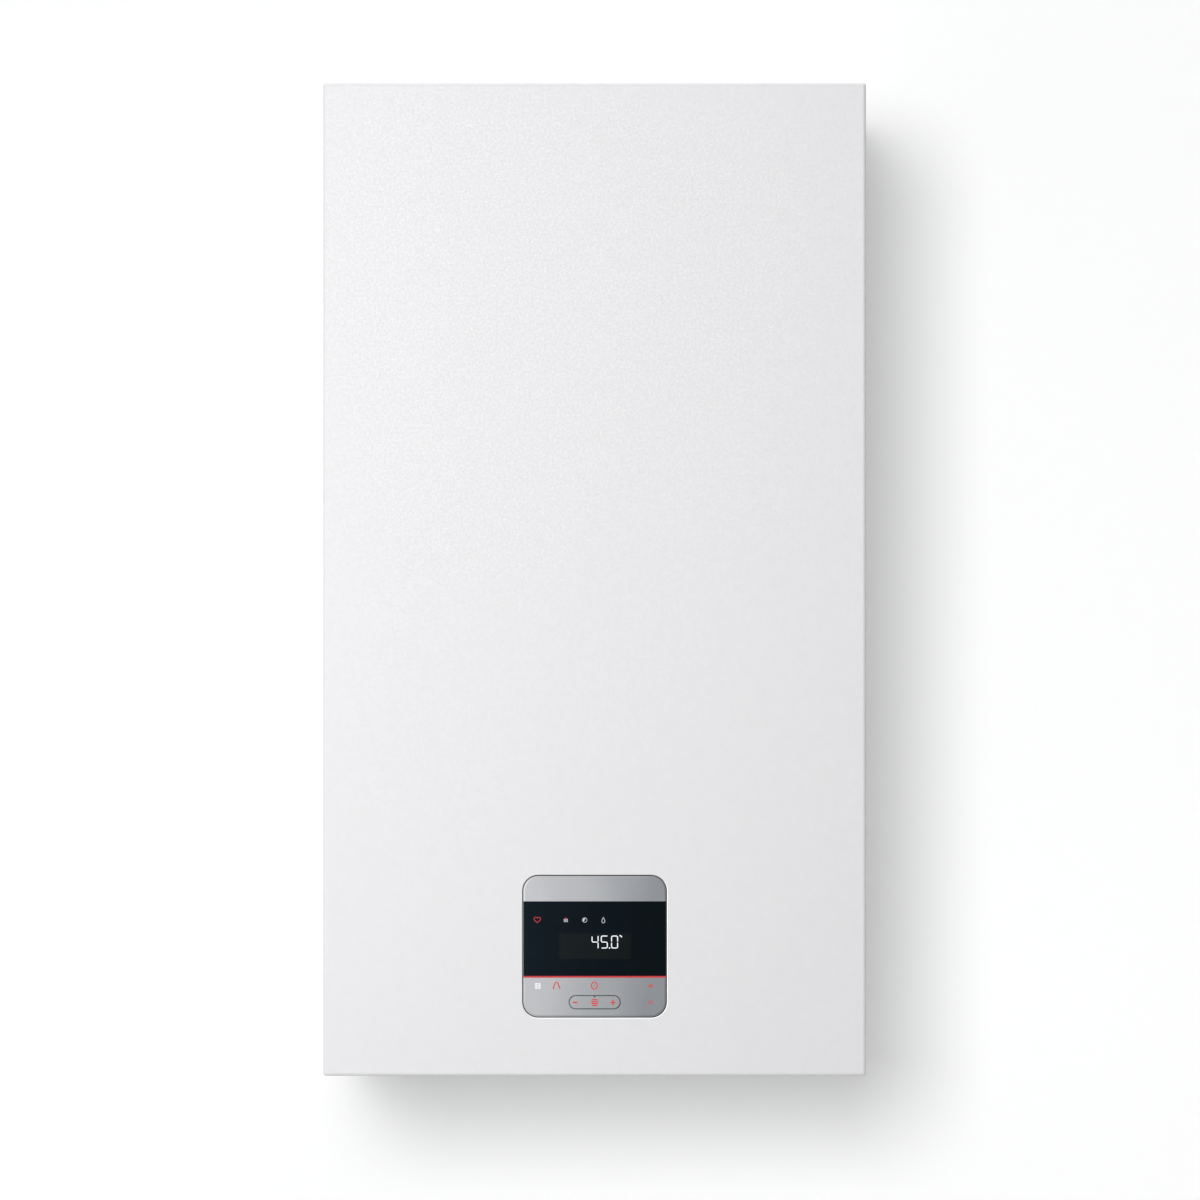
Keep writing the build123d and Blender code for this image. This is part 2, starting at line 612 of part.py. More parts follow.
with BuildPart() as chamber_floor:
    with BuildSketch(level(FLOOR_Z)):
        floor_depth = RIM_DEPTH - SHEET - FIT - FRAME_FACE
        with Locations((0, -FRAME_FACE - floor_depth / 2)):
            Rectangle(2 * HALF_INSIDE, floor_depth)
        with Locations((0, -(FRAME_FACE + RIM_DEPTH) / 2)):
            Rectangle(2 * FLANGE_HALF, RIM_DEPTH - FRAME_FACE)
        with Locations(*[(x, -PIPE_DEPTH) for x in mirrored(RISER_X)]):
            Circle(HEATING_PIPE + 2 * HOLE_PLAY, mode=Mode.SUBTRACT)
        with Locations((FAN_SIDE, -VALVE_MIDDLE)):
            Circle(GAS_PIPE + HOLE_PLAY, mode=Mode.SUBTRACT)
        with Locations((TRAP_X, -TRAP_DEPTH)):
            Circle(WATER_PIPE + 1.5 * HOLE_PLAY, mode=Mode.SUBTRACT)
        with Locations((VESSEL_X, -VESSEL_DEPTH)):
            Circle(HOSE_RADIUS + 1.5 * HOLE_PLAY, mode=Mode.SUBTRACT)
    extrude(amount=-PLATE)
    with BuildSketch(facing(RIM_DEPTH - PLATE)):
        with Locations((0, FLOOR_Z - FLANGE_DROP / 2)):
            Rectangle(2 * FLANGE_HALF, FLANGE_DROP)
    extrude(amount=PLATE)

with BuildPart() as casing_screws:
    # pan-head screws that hold each side panel to the middle frame and the back plate
    for side in (-1, 1):
        for depth in (FRAME_FACE - 8, WALL_GAP / 2):
            for z in (BASE_Z + 60, ROOF_Z - 60):
                start = spot(side * CASE_WIDTH / 2, depth, z)
                bar(start, start + Vector(side * 2.2, 0, 0), 4.5)
    fillet(casing_screws.faces().filter_by(Axis.X).edges().group_by(SortBy.LENGTH)[-1], 1.0)

# ---------------------------------------------------------------- hot-water store

with BuildPart() as store_tanks:
    for side in (-1, 1):
        dished_vessel(side * TANK_X, TANK_DEPTH, TANK_RADIUS, TANK_BOTTOM, TANK_TOP, TANK_DOME)
    for side in (-1, 1):
        bottom_port = spot(side * TANK_X, TANK_DEPTH, TANK_BOTTOM - PORT_LENGTH)
        bar(bottom_port, bottom_port + Vector(0, 0, 2 * PORT_LENGTH), PORT_RADIUS)
    link_rise = TANK_TOP + FOAM_END + 2 * WATER_PIPE
    link_points = [
        spot(-TANK_X, TANK_DEPTH, TANK_TOP - TANK_WALL),
        spot(-TANK_X, TANK_DEPTH, link_rise),
        spot(TANK_X, TANK_DEPTH, link_rise),
        spot(TANK_X, TANK_DEPTH, TANK_TOP - TANK_WALL),
    ]
    bent_pipe(link_points, WATER_PIPE, 2 * WATER_PIPE)
    for side in (-1, 1):
        dished_vessel(
            side * TANK_X,
            TANK_DEPTH,
            TANK_RADIUS - TANK_WALL,
            TANK_BOTTOM + TANK_WALL,
            TANK_TOP - TANK_WALL,
            TANK_DOME,
            mode=Mode.SUBTRACT,
        )

with BuildPart() as store_insulation:
    block(
        (-INSULATION_X, INSULATION_X),
        (BACK_FACE, FRAME_FACE - PLATE),
        (TANK_BOTTOM - FOAM_END, TANK_TOP + FOAM_END),
    )
    fillet(store_insulation.edges().filter_by(Axis.Z), JACKET_WALL)
    for side in (-1, 1):
        dished_vessel(
            side * TANK_X,
            TANK_DEPTH,
            TANK_RADIUS + FIT,
            TANK_BOTTOM - FIT,
            TANK_TOP + FIT,
            TANK_DOME,
            mode=Mode.SUBTRACT,
        )
        under = spot(side * TANK_X, TANK_DEPTH, TANK_BOTTOM - 2 * FOAM_END)
        above = spot(side * TANK_X, TANK_DEPTH, TANK_TOP + 2 * FOAM_END)
        bar(under, above, PORT_RADIUS + HOLE_PLAY, mode=Mode.SUBTRACT)
    # the joint between the rear and front halves
    block(
        (-CASE_WIDTH, CASE_WIDTH),
        (TANK_DEPTH - FIT, TANK_DEPTH + FIT),
        (BASE_Z, ROOF_Z),
        mode=Mode.SUBTRACT,
    )

# ---------------------------------------------------------------- heat exchanger and burner

FLANGE_BORE = DRUM_RADIUS - FLANGE_WIDTH
COIL_OUTER = FLANGE_BORE - 2.0
COIL_MIDDLE = COIL_OUTER - COIL_WIDTH / 2
COIL_LAST = DRUM_FRONT - LAGGING - COIL_PITCH
COIL_TUBE = COIL_PITCH - COIL_GAP
COIL_TURNS = 1 + int((COIL_LAST - COIL_TUBE / 2 - DRUM_SKIN - DRUM_BACK) / COIL_PITCH)
PORT_REACH = 16.0  # spigots below the drum
DRUM_AXIS = Axis(spot(0, 0, DRUM_Z), (0, 1, 0))
DOOR_RADIUS = DRUM_RADIUS - DOOR_INSET
DOOR_STUD_CIRCLE = DRUM_RADIUS - DOOR_STUD_INSET
OUTLET_X = FAN_SIDE - SCROLL_START - 8.0
STUD_DIAMETER = 6.0
FOOT_RADIUS = 9.0
DOOR_FRONT = DRUM_FRONT + DOOR_THICKNESS
HALF_PITCH = math.radians(90 / DOOR_STUDS)  # from a stud to the rib beside it
ELECTRODE_RADIUS = 6.0
ELECTRODE_CIRCLE = BURNER_RADIUS + 24.0
ELECTRODE_X = -ELECTRODE_CIRCLE * math.cos(HALF_PITCH)
ELECTRODE_Z = DRUM_Z - ELECTRODE_CIRCLE * math.sin(HALF_PITCH)
SIGHT_RADIUS = 11.0
SIGHT_X = ELECTRODE_X - 8.0
SIGHT_Z = DRUM_Z + SIGHT_RADIUS + 8.0

with BuildPart() as exchanger_shell:
    with BuildSketch(facing(DRUM_BACK)):
        with Locations((0, DRUM_Z)):
            Circle(DRUM_RADIUS)
    extrude(amount=DRUM_LENGTH)
    fillet(exchanger_shell.faces().sort_by(Axis.Y)[-1].edges(), 3 * DRUM_SKIN)
    for x in mirrored(RISER_X):
        bar(spot(x, PIPE_DEPTH, DRUM_BOTTOM - PORT_REACH), spot(x, PIPE_DEPTH, DRUM_Z), HEATING_THREAD)
    bar(spot(TRAP_X, TRAP_DEPTH, DRUM_BOTTOM - PORT_REACH), spot(TRAP_X, TRAP_DEPTH, DRUM_Z), WATER_THREAD)
    bar(
        spot(0, FLUE_DEPTH, DRUM_Z),
        spot(0, FLUE_DEPTH, DRUM_TOP + PORT_REACH),
        FLUE_RADIUS + DRUM_SKIN,
    )
    bar(
        spot(0, FLUE_DEPTH, DRUM_Z),
        spot(0, FLUE_DEPTH, DRUM_TOP + 2 * PORT_REACH),
        INNER_SOCKET,
        mode=Mode.SUBTRACT,
    )
    bar(
        spot(0, DRUM_BACK + DRUM_SKIN, DRUM_Z),
        spot(0, DRUM_FRONT - FLANGE_THICKNESS, DRUM_Z),
        DRUM_RADIUS - DRUM_SKIN,
        mode=Mode.SUBTRACT,
    )
    bar(spot(0, DRUM_BACK + DRUM_SKIN, DRUM_Z), spot(0, CASE_DEPTH, DRUM_Z), FLANGE_BORE, mode=Mode.SUBTRACT)

    # feet on the middle frame
    for x in mirrored(DRUM_RADIUS * 0.6):
        for z in mirrored(DRUM_RADIUS * 0.6):
            bar(spot(x, FRAME_FACE, DRUM_Z + z), spot(x, DRUM_BACK + DRUM_SKIN, DRUM_Z + z), FOOT_RADIUS)

with BuildPart() as exchanger_coil:
    for turn in range(COIL_TURNS):
        with BuildSketch(upright(0)):
            with Locations((-(COIL_LAST - turn * COIL_PITCH), DRUM_Z + COIL_MIDDLE)):
                Rectangle(COIL_TUBE, COIL_WIDTH)
                Rectangle(COIL_TUBE - 2 * COIL_WALL, COIL_WIDTH - 2 * COIL_WALL, mode=Mode.SUBTRACT)
    revolve(axis=DRUM_AXIS)
    # collector pipes that join the turns
    collector_drop = math.sqrt(COIL_MIDDLE**2 - RISER_X**2)
    for x in mirrored(RISER_X):
        bar(
            spot(x, COIL_LAST - (COIL_TURNS - 1) * COIL_PITCH, DRUM_Z - collector_drop),
            spot(x, COIL_LAST, DRUM_Z - collector_drop),
            WATER_PIPE,
        )

with BuildPart() as burner_tube:
    burner_end = DRUM_BACK + BURNER_ROOM
    with BuildSketch(upright(0)):
        with BuildLine():
            Polyline(
                (-DRUM_FRONT, DRUM_Z + BURNER_RADIUS - BURNER_WALL),
                (-DRUM_FRONT, DRUM_Z + HUB_RADIUS - 3 * BURNER_WALL),
                (BURNER_WALL - DRUM_FRONT, DRUM_Z + HUB_RADIUS - 3 * BURNER_WALL),
                (BURNER_WALL - DRUM_FRONT, DRUM_Z + BURNER_RADIUS),
                (-burner_end, DRUM_Z + BURNER_RADIUS),
                (-burner_end, DRUM_Z),
                (-burner_end - BURNER_WALL, DRUM_Z),
                (-burner_end - BURNER_WALL, DRUM_Z + BURNER_RADIUS - BURNER_WALL),
                close=True,
            )
        make_face()
    revolve(axis=DRUM_AXIS)

with BuildPart() as door_insulation:
    bar(
        spot(0, DRUM_FRONT - BURNER_WALL - LAGGING, DRUM_Z),
        spot(0, DRUM_FRONT - BURNER_WALL, DRUM_Z),
        FLANGE_BORE - FIT,
    )
    bar(spot(0, 0, DRUM_Z), spot(0, CASE_DEPTH, DRUM_Z), BURNER_RADIUS + FIT, Mode.SUBTRACT)
    bar(
        spot(ELECTRODE_X, 0, ELECTRODE_Z),
        spot(ELECTRODE_X, CASE_DEPTH, ELECTRODE_Z),
        ELECTRODE_RADIUS + FIT,
        Mode.SUBTRACT,
    )

with BuildPart() as burner_door:
    with BuildSketch(facing(DRUM_FRONT)):
        with Locations((0, DRUM_Z)):
            Circle(DOOR_RADIUS)
    extrude(amount=DOOR_THICKNESS)
    chamfer(burner_door.faces().sort_by(Axis.Y)[0].edges(), 2)
    # cast ribs between the hub and the rim
    with BuildSketch(facing(DOOR_FRONT)):
        with Locations((0, DRUM_Z)):
            with PolarLocations(0, 2 * DOOR_STUDS, start_angle=90 + 90 / DOOR_STUDS):
                with Locations(((HUB_RADIUS + DOOR_STUD_CIRCLE) / 2 - 4, 0)):
                    Rectangle(DOOR_STUD_CIRCLE - HUB_RADIUS, 3)
    extrude(amount=DOOR_THICKNESS * 0.75)
    # hollow hub, and the arm that carries the mixture from the fan
    with BuildSketch(facing(DOOR_FRONT)):
        with Locations((0, DRUM_Z)):
            Circle(HUB_RADIUS)
        with Locations((OUTLET_X / 2, DRUM_Z)):
            Rectangle(OUTLET_X, OUTLET_HEIGHT)
    extrude(amount=FAN_FRONT - DOOR_FRONT)
    fillet(burner_door.faces().sort_by(Axis.Y)[0].edges(), 5)
    with BuildSketch(facing(FAN_BACK + FAN_WALL)):
        with Locations((0, DRUM_Z)):
            Circle(HUB_RADIUS - 2 * FAN_WALL)
        with Locations((OUTLET_X / 2, DRUM_Z)):
            Rectangle(OUTLET_X, OUTLET_HEIGHT - 2 * FAN_WALL)
    extrude(amount=FAN_THICKNESS - 2 * FAN_WALL, mode=Mode.SUBTRACT)
    bar(
        spot(0, DRUM_FRONT, DRUM_Z),
        spot(0, FAN_BACK + 2 * FAN_WALL, DRUM_Z),
        BURNER_RADIUS - BURNER_WALL,
        mode=Mode.SUBTRACT,
    )
    with BuildSketch(facing(DRUM_FRONT)):
        with Locations((0, DRUM_Z)):
            with PolarLocations(DOOR_STUD_CIRCLE, DOOR_STUDS, start_angle=90):
                Circle(STUD_DIAMETER / 2 + FIT)
    extrude(amount=DOOR_THICKNESS * 2, mode=Mode.SUBTRACT)
    bar(
        spot(ELECTRODE_X, DRUM_FRONT, ELECTRODE_Z),
        spot(ELECTRODE_X, FAN_FRONT, ELECTRODE_Z),
        ELECTRODE_RADIUS + FIT,
        Mode.SUBTRACT,
    )
    # sight glass boss
    bar(spot(SIGHT_X, DOOR_FRONT, SIGHT_Z), spot(SIGHT_X, DOOR_FRONT + 7, SIGHT_Z), SIGHT_RADIUS)
    bar(
        spot(SIGHT_X, DOOR_FRONT + 4, SIGHT_Z),
        spot(SIGHT_X, DOOR_FRONT + 8, SIGHT_Z),
        SIGHT_RADIUS - 4,
        Mode.SUBTRACT,
    )

with BuildPart() as door_nuts:
    for turn in range(DOOR_STUDS):
        angle = math.radians(90 + turn * 360 / DOOR_STUDS)
        x = DOOR_STUD_CIRCLE * math.cos(angle)
        z = DRUM_Z + DOOR_STUD_CIRCLE * math.sin(angle)
        bar(spot(x, DRUM_FRONT, z), spot(x, DOOR_FRONT + 9, z), STUD_DIAMETER / 2)
        hexagon(spot(x, DOOR_FRONT, z), spot(x, DOOR_FRONT + 5, z), 10)

with BuildPart() as ignition_electrode:
    tip = DRUM_FRONT - LAGGING - 30
    bar(spot(ELECTRODE_X, tip, ELECTRODE_Z), spot(ELECTRODE_X, DOOR_FRONT, ELECTRODE_Z), 1.5)
    bar(
        spot(ELECTRODE_X, DRUM_FRONT - LAGGING, ELECTRODE_Z),
        spot(ELECTRODE_X, DOOR_FRONT + 26, ELECTRODE_Z),
        ELECTRODE_RADIUS,
    )
    block(
        (ELECTRODE_X - 10, ELECTRODE_X + 10),
        (DOOR_FRONT, DOOR_FRONT + 2),
        (ELECTRODE_Z - 8, ELECTRODE_Z + 8),
    )

# ---------------------------------------------------------------- fan, gas and air

SHAFT_RADIUS = 3.0
SHAFT_PLAY = 0.06
FAN_AXIS = Axis(spot(FAN_SIDE, 0, FAN_Z), (0, -1, 0))
VENTURI_BACK = FAN_BACK - VENTURI_LENGTH
IMPELLER_GAP = 2.0
BLADE_BASE = 4.0  # radius of the impeller's hub above its shaft


def scroll(centre_x, centre_z, radii, outlet_x, outlet_height):
    """Outline of a fan's scroll, three growing quarter turns and a straight outlet, in the open line."""
    start = (centre_x - SCROLL_START, centre_z)
    first = JernArc(start, (0, -1), radii[0], 90)
    second = JernArc(first @ 1, (1, 0), radii[1], 90)
    third = JernArc(second @ 1, (0, 1), radii[2], 90)
    top = (third @ 1).Y
    floor = top - outlet_height
    Polyline(third @ 1, (outlet_x, top), (outlet_x, floor), (start[0], floor), start)


with BuildPart() as fan_housing:
    with BuildSketch(facing(FAN_BACK)) as scroll_face:
        with BuildLine():
            scroll(FAN_SIDE, FAN_Z, FAN_RADII, OUTLET_X, OUTLET_HEIGHT)
        make_face()
    extrude(amount=FAN_THICKNESS)
    chamfer(fan_housing.faces().sort_by(Axis.Y)[0].edges(), 2)
    with BuildSketch(facing(FAN_BACK + FAN_WALL)):
        with BuildLine():
            scroll(FAN_SIDE, FAN_Z, FAN_RADII, OUTLET_X, OUTLET_HEIGHT)
        make_face()
        offset(amount=-FAN_WALL, mode=Mode.REPLACE)
    extrude(amount=FAN_THICKNESS - 2 * FAN_WALL, mode=Mode.SUBTRACT)
    # the outlet's mouth, the inlet from the venturi, and the motor's shaft hole
    block(
        (OUTLET_X, OUTLET_X + 2 * FAN_WALL),
        (FAN_BACK + FAN_WALL, FAN_FRONT - FAN_WALL),
        (DRUM_Z - OUTLET_HEIGHT / 2 + FAN_WALL, DRUM_Z + OUTLET_HEIGHT / 2 - FAN_WALL),
        mode=Mode.SUBTRACT,
    )
    bar(
        spot(FAN_SIDE, FAN_BACK, FAN_Z),
        spot(FAN_SIDE, FAN_BACK + FAN_WALL, FAN_Z),
        VENTURI_MOUTH - 2 * FAN_WALL,
        Mode.SUBTRACT,
    )
    bar(
        spot(FAN_SIDE, FAN_FRONT - FAN_WALL, FAN_Z),
        spot(FAN_SIDE, FAN_FRONT, FAN_Z),
        SHAFT_RADIUS * 3,
        Mode.SUBTRACT,
    )

with BuildPart() as fan_motor:
    bar(spot(FAN_SIDE, FAN_FRONT, FAN_Z), spot(FAN_SIDE, FAN_FRONT + MOTOR_LENGTH, FAN_Z), MOTOR_RADIUS)
    fillet(fan_motor.faces().sort_by(Axis.Y)[0].edges(), 5)
    bar(spot(FAN_SIDE, FAN_FRONT, FAN_Z), spot(FAN_SIDE, FAN_FRONT + 3, FAN_Z), MOTOR_RADIUS + 6)
    # cooling rings round the barrel
    for ring in range(MOTOR_FINS):
        ring_back = spot(FAN_SIDE, FAN_FRONT + 9 + 6 * ring, FAN_Z)
        bar(ring_back, ring_back - Vector(0, 2, 0), MOTOR_RADIUS + 1)
    # plug housing on the motor's lower side
    block(
        (FAN_SIDE - 14, FAN_SIDE + 14),
        (FAN_FRONT + 8, FAN_FRONT + 26),
        (FAN_Z - MOTOR_RADIUS - 9, FAN_Z - MOTOR_RADIUS + 4),
    )
    bar(
        spot(FAN_SIDE, FAN_FRONT, FAN_Z),
        spot(FAN_SIDE, FAN_FRONT + MOTOR_LENGTH * 0.7, FAN_Z),
        SHAFT_RADIUS + SHAFT_PLAY,
        Mode.SUBTRACT,
    )

BLADE_SWEEP = math.radians(38)
BLADE_TIP = IMPELLER_RADIUS - 1

with BuildSketch() as blade:
    with BuildLine():
        tip_point = (BLADE_TIP * math.cos(BLADE_SWEEP), BLADE_TIP * math.sin(BLADE_SWEEP))
        RadiusArc((5 * BLADE_BASE, 0), tip_point, IMPELLER_RADIUS * 0.7)
    trace(line_width=1.2)

with BuildPart() as fan_impeller:
    plate_front = FAN_FRONT - FAN_WALL - IMPELLER_GAP
    blade_back = FAN_BACK + FAN_WALL + IMPELLER_GAP
    bar(spot(FAN_SIDE, plate_front - 1.5, FAN_Z), spot(FAN_SIDE, plate_front, FAN_Z), IMPELLER_RADIUS)
    bar(spot(FAN_SIDE, plate_front - 14, FAN_Z), spot(FAN_SIDE, plate_front, FAN_Z), 3 * BLADE_BASE)
    bar(
        spot(FAN_SIDE, plate_front, FAN_Z),
        spot(FAN_SIDE, FAN_FRONT + MOTOR_LENGTH * 0.65, FAN_Z),
        SHAFT_RADIUS,
    )
    # backward-curved blades between the back plate and the front ring
    with BuildSketch(facing(blade_back)):
        with Locations((FAN_SIDE, FAN_Z)):
            with PolarLocations(0, BLADES):
                add(blade.sketch)
    extrude(amount=plate_front - blade_back - 1)
    with BuildSketch(facing(blade_back)):
        with Locations((FAN_SIDE, FAN_Z)):
            Circle(IMPELLER_RADIUS)
            Circle(VENTURI_MOUTH - 2 * FAN_WALL, mode=Mode.SUBTRACT)
    extrude(amount=1.5)

with BuildPart() as venturi:
    with BuildSketch(upright(FAN_SIDE)):
        with BuildLine():
            flange_rim = FAN_Z + VENTURI_MOUTH + 5
            outer_wall = FAN_Z + VENTURI_MOUTH
            Polyline(
                (-VENTURI_BACK, outer_wall - FAN_WALL),
                (-VENTURI_BACK, outer_wall),
                (4 - FAN_BACK, outer_wall),
                (4 - FAN_BACK, flange_rim),
                (-FAN_BACK, flange_rim),
                (-FAN_BACK, FAN_Z + VENTURI_MOUTH - 2 * FAN_WALL),
            )
            throat = ((-VENTURI_BACK - FAN_BACK) / 2, FAN_Z + VENTURI_THROAT)
            ThreePointArc(
                (-FAN_BACK, FAN_Z + VENTURI_MOUTH - 2 * FAN_WALL),
                throat,
                (-VENTURI_BACK, outer_wall - FAN_WALL),
            )
        make_face()
    revolve(axis=FAN_AXIS)
    # gas leg, down to the valve
    bar(
        spot(FAN_SIDE, VALVE_MIDDLE, VALVE_TOP),
        spot(FAN_SIDE, VALVE_MIDDLE, FAN_Z - VENTURI_MOUTH + 1),
        GAS_PIPE,
    )
    hexagon(
        spot(FAN_SIDE, VALVE_MIDDLE, VALVE_TOP), spot(FAN_SIDE, VALVE_MIDDLE, VALVE_TOP + 8), 3 * GAS_PIPE
    )

with BuildPart() as air_silencer:
    silencer_x = (FAN_SIDE - VENTURI_MOUTH, HALF_INSIDE - SILENCER_ROOM)
    silencer_z = (FAN_Z - SILENCER_HEIGHT * 0.45, FAN_Z + SILENCER_HEIGHT * 0.55)
    silencer_depth = (FRAME_FACE + DRUM_STANDOFF, VENTURI_BACK)
    block(silencer_x, silencer_depth, silencer_z)
    fillet(air_silencer.edges().filter_by(Axis.Y), 14)
    block(
        tuple(x + SILENCER_WALL * side for x, side in zip(silencer_x, (1, -1))),
        tuple(depth + SILENCER_WALL * side for depth, side in zip(silencer_depth, (1, -1))),
        tuple(z + SILENCER_WALL * side for z, side in zip(silencer_z, (1, -1))),
        mode=Mode.SUBTRACT,
    )
    bar(
        spot(FAN_SIDE, silencer_depth[1] - 2 * SILENCER_WALL, FAN_Z),
        spot(FAN_SIDE, silencer_depth[1], FAN_Z),
        VENTURI_MOUTH - FAN_WALL,
        Mode.SUBTRACT,
    )
    # intake slots in the top
    intake_span = silencer_depth[1] - silencer_depth[0] - 2 * SILENCER_WALL - INTAKE_SLOT
    intakes = 1 + int(intake_span / INTAKE_PITCH)
    with BuildSketch(level(silencer_z[1])):
        with Locations((sum(silencer_x) / 2, -sum(silencer_depth) / 2)):
            with GridLocations(0, INTAKE_PITCH, 1, intakes):
                SlotOverall((silencer_x[1] - silencer_x[0]) * 0.6, INTAKE_SLOT)
    extrude(amount=-2 * SILENCER_WALL, mode=Mode.SUBTRACT)
    for z in (silencer_z[0] + 30, silencer_z[1] - 30):
        foot_x = sum(silencer_x) / 2
        bar(spot(foot_x, FRAME_FACE, z), spot(foot_x, silencer_depth[0] + SILENCER_WALL, z), FOOT_RADIUS)

with BuildPart() as gas_valve:
    block(
        (FAN_SIDE - VALVE_WIDTH / 2, FAN_SIDE + VALVE_WIDTH / 2),
        (VALVE_FRONT - VALVE_DEPTH, VALVE_FRONT),
        (VALVE_BOTTOM + 10, VALVE_TOP - 8),
    )
    fillet(gas_valve.edges(), 4)
    bar(spot(FAN_SIDE, VALVE_MIDDLE, VALVE_BOTTOM), spot(FAN_SIDE, VALVE_MIDDLE, VALVE_TOP), 2 * GAS_PIPE)
    # two solenoid coils and the regulator's cap on the front
    for x in mirrored(VALVE_WIDTH / 4):
        bar(
            spot(FAN_SIDE + x, VALVE_FRONT, VALVE_TOP - 32),
            spot(FAN_SIDE + x, VALVE_FRONT + 30, VALVE_TOP - 32),
            VALVE_WIDTH / 4 - 2,
        )
    bar(
        spot(FAN_SIDE, VALVE_FRONT, VALVE_BOTTOM + 30),
        spot(FAN_SIDE, VALVE_FRONT + 12, VALVE_BOTTOM + 30),
        GAS_PIPE,
    )

GAS_RUN_Z = FLOOR_Z - 30.0

with BuildPart() as gas_pipe:
    gas_points = [
        spot(GAS_X, PIPE_DEPTH, BASE_Z),
        spot(GAS_X, PIPE_DEPTH, GAS_RUN_Z),
        spot(GAS_X, VALVE_MIDDLE, GAS_RUN_Z),
        spot(FAN_SIDE, VALVE_MIDDLE, GAS_RUN_Z),
        spot(FAN_SIDE, VALVE_MIDDLE, VALVE_BOTTOM),
    ]
    bent_pipe(gas_points, GAS_PIPE, 2 * GAS_PIPE)
    stub(GAS_X, PIPE_DEPTH, WATER_THREAD)
    hexagon(spot(GAS_X, PIPE_DEPTH, BASE_Z), spot(GAS_X, PIPE_DEPTH, BASE_Z + GAS_UNION), 4 * GAS_PIPE)
    hexagon(
        spot(FAN_SIDE, VALVE_MIDDLE, VALVE_BOTTOM - GAS_UNION),
        spot(FAN_SIDE, VALVE_MIDDLE, VALVE_BOTTOM),
        3.4 * GAS_PIPE,
    )
    stub_bore(GAS_X, PIPE_DEPTH, WATER_THREAD - STUB_WALL)

# ---------------------------------------------------------------- flue

COLLAR_TOP = TOP_Z + COLLAR_RISE
SOCKET_BOTTOM = COLLAR_TOP - 2 * SOCKET_DEPTH
ROOF_TOP = ROOF_Z + PLATE

with BuildPart() as flue_pipe:
    flue_start = DRUM_TOP - DRUM_SKIN
    flue_end = COLLAR_TOP - SOCKET_DEPTH
    bar(spot(0, FLUE_DEPTH, flue_start), spot(0, FLUE_DEPTH, flue_end), INNER_SOCKET - FIT / 2)
    bar(
        spot(0, FLUE_DEPTH, flue_start),
        spot(0, FLUE_DEPTH, flue_end),
        INNER_SOCKET - FIT / 2 - FLUE_WALL,
        Mode.SUBTRACT,
    )

with BuildPart() as flue_collar:
    bar(spot(0, FLUE_DEPTH, SOCKET_BOTTOM), spot(0, FLUE_DEPTH, COLLAR_TOP), FLUE_RADIUS + FLUE_WALL)
    # three webs hold the socket in the middle of the air spigot
    with BuildSketch(level(ROOF_Z - 4)):
        with Locations((0, -FLUE_DEPTH)):
            with PolarLocations((FLUE_RADIUS + AIR_RADIUS) / 2, 3, start_angle=90):
                Rectangle(AIR_RADIUS - FLUE_RADIUS - FLUE_WALL, 2)
    extrude(amount=10)
    with BuildSketch(level(ROOF_TOP)):
        with Locations((0, -FLUE_DEPTH)):
            RectangleRounded(COLLAR_FLANGE, COLLAR_FLANGE, FLUE_RADIUS / 2)
            Circle(AIR_RADIUS - FLUE_WALL, mode=Mode.SUBTRACT)
    extrude(amount=FLUE_WALL)
    with BuildSketch(level(ROOF_Z - 4)):
        with Locations((0, -FLUE_DEPTH)):
            Circle(AIR_RADIUS)
            Circle(AIR_RADIUS - FLUE_WALL, mode=Mode.SUBTRACT)
    extrude(amount=COLLAR_TOP - ROOF_Z + 4)
    bar(spot(0, FLUE_DEPTH, SOCKET_BOTTOM), spot(0, FLUE_DEPTH, COLLAR_TOP), INNER_SOCKET, Mode.SUBTRACT)
    bar(spot(0, FLUE_DEPTH, flue_end), spot(0, FLUE_DEPTH, COLLAR_TOP), FLUE_RADIUS, Mode.SUBTRACT)
    # capped test points on the flange's front corners
    test_place = COLLAR_FLANGE / 2 - FLUE_RADIUS / 2
    for x in mirrored(test_place):
        point = spot(x, FLUE_DEPTH + test_place, ROOF_TOP)
        bar(point, point + Vector(0, 0, TEST_POINT_RISE), TEST_POINT_RADIUS)

# ---------------------------------------------------------------- expansion vessel

VESSEL_NECK = 14.0
VESSEL_CORNER = VESSEL_SPAN * 0.4
VESSEL_ROUND = VESSEL_THICKNESS * 0.3
BLOCK_RADIUS = 17.0
HOSE_STUB = 8.0
HOSE_Z = BASE_Z + 67.0
HOSE_BEND = 18.0

with BuildPart() as vessel_space:
    with BuildSketch(upright(VESSEL_X - VESSEL_THICKNESS / 2 + VESSEL_WALL)):
        with Locations((-VESSEL_DEPTH, VESSEL_MIDDLE)):
            RectangleRounded(
                VESSEL_SPAN - 2 * VESSEL_WALL, VESSEL_HEIGHT - 2 * VESSEL_WALL, VESSEL_CORNER - VESSEL_WALL
            )
    extrude(amount=VESSEL_THICKNESS - 2 * VESSEL_WALL)
    fillet(vessel_space.faces().filter_by(Axis.X).edges(), VESSEL_ROUND - VESSEL_WALL)

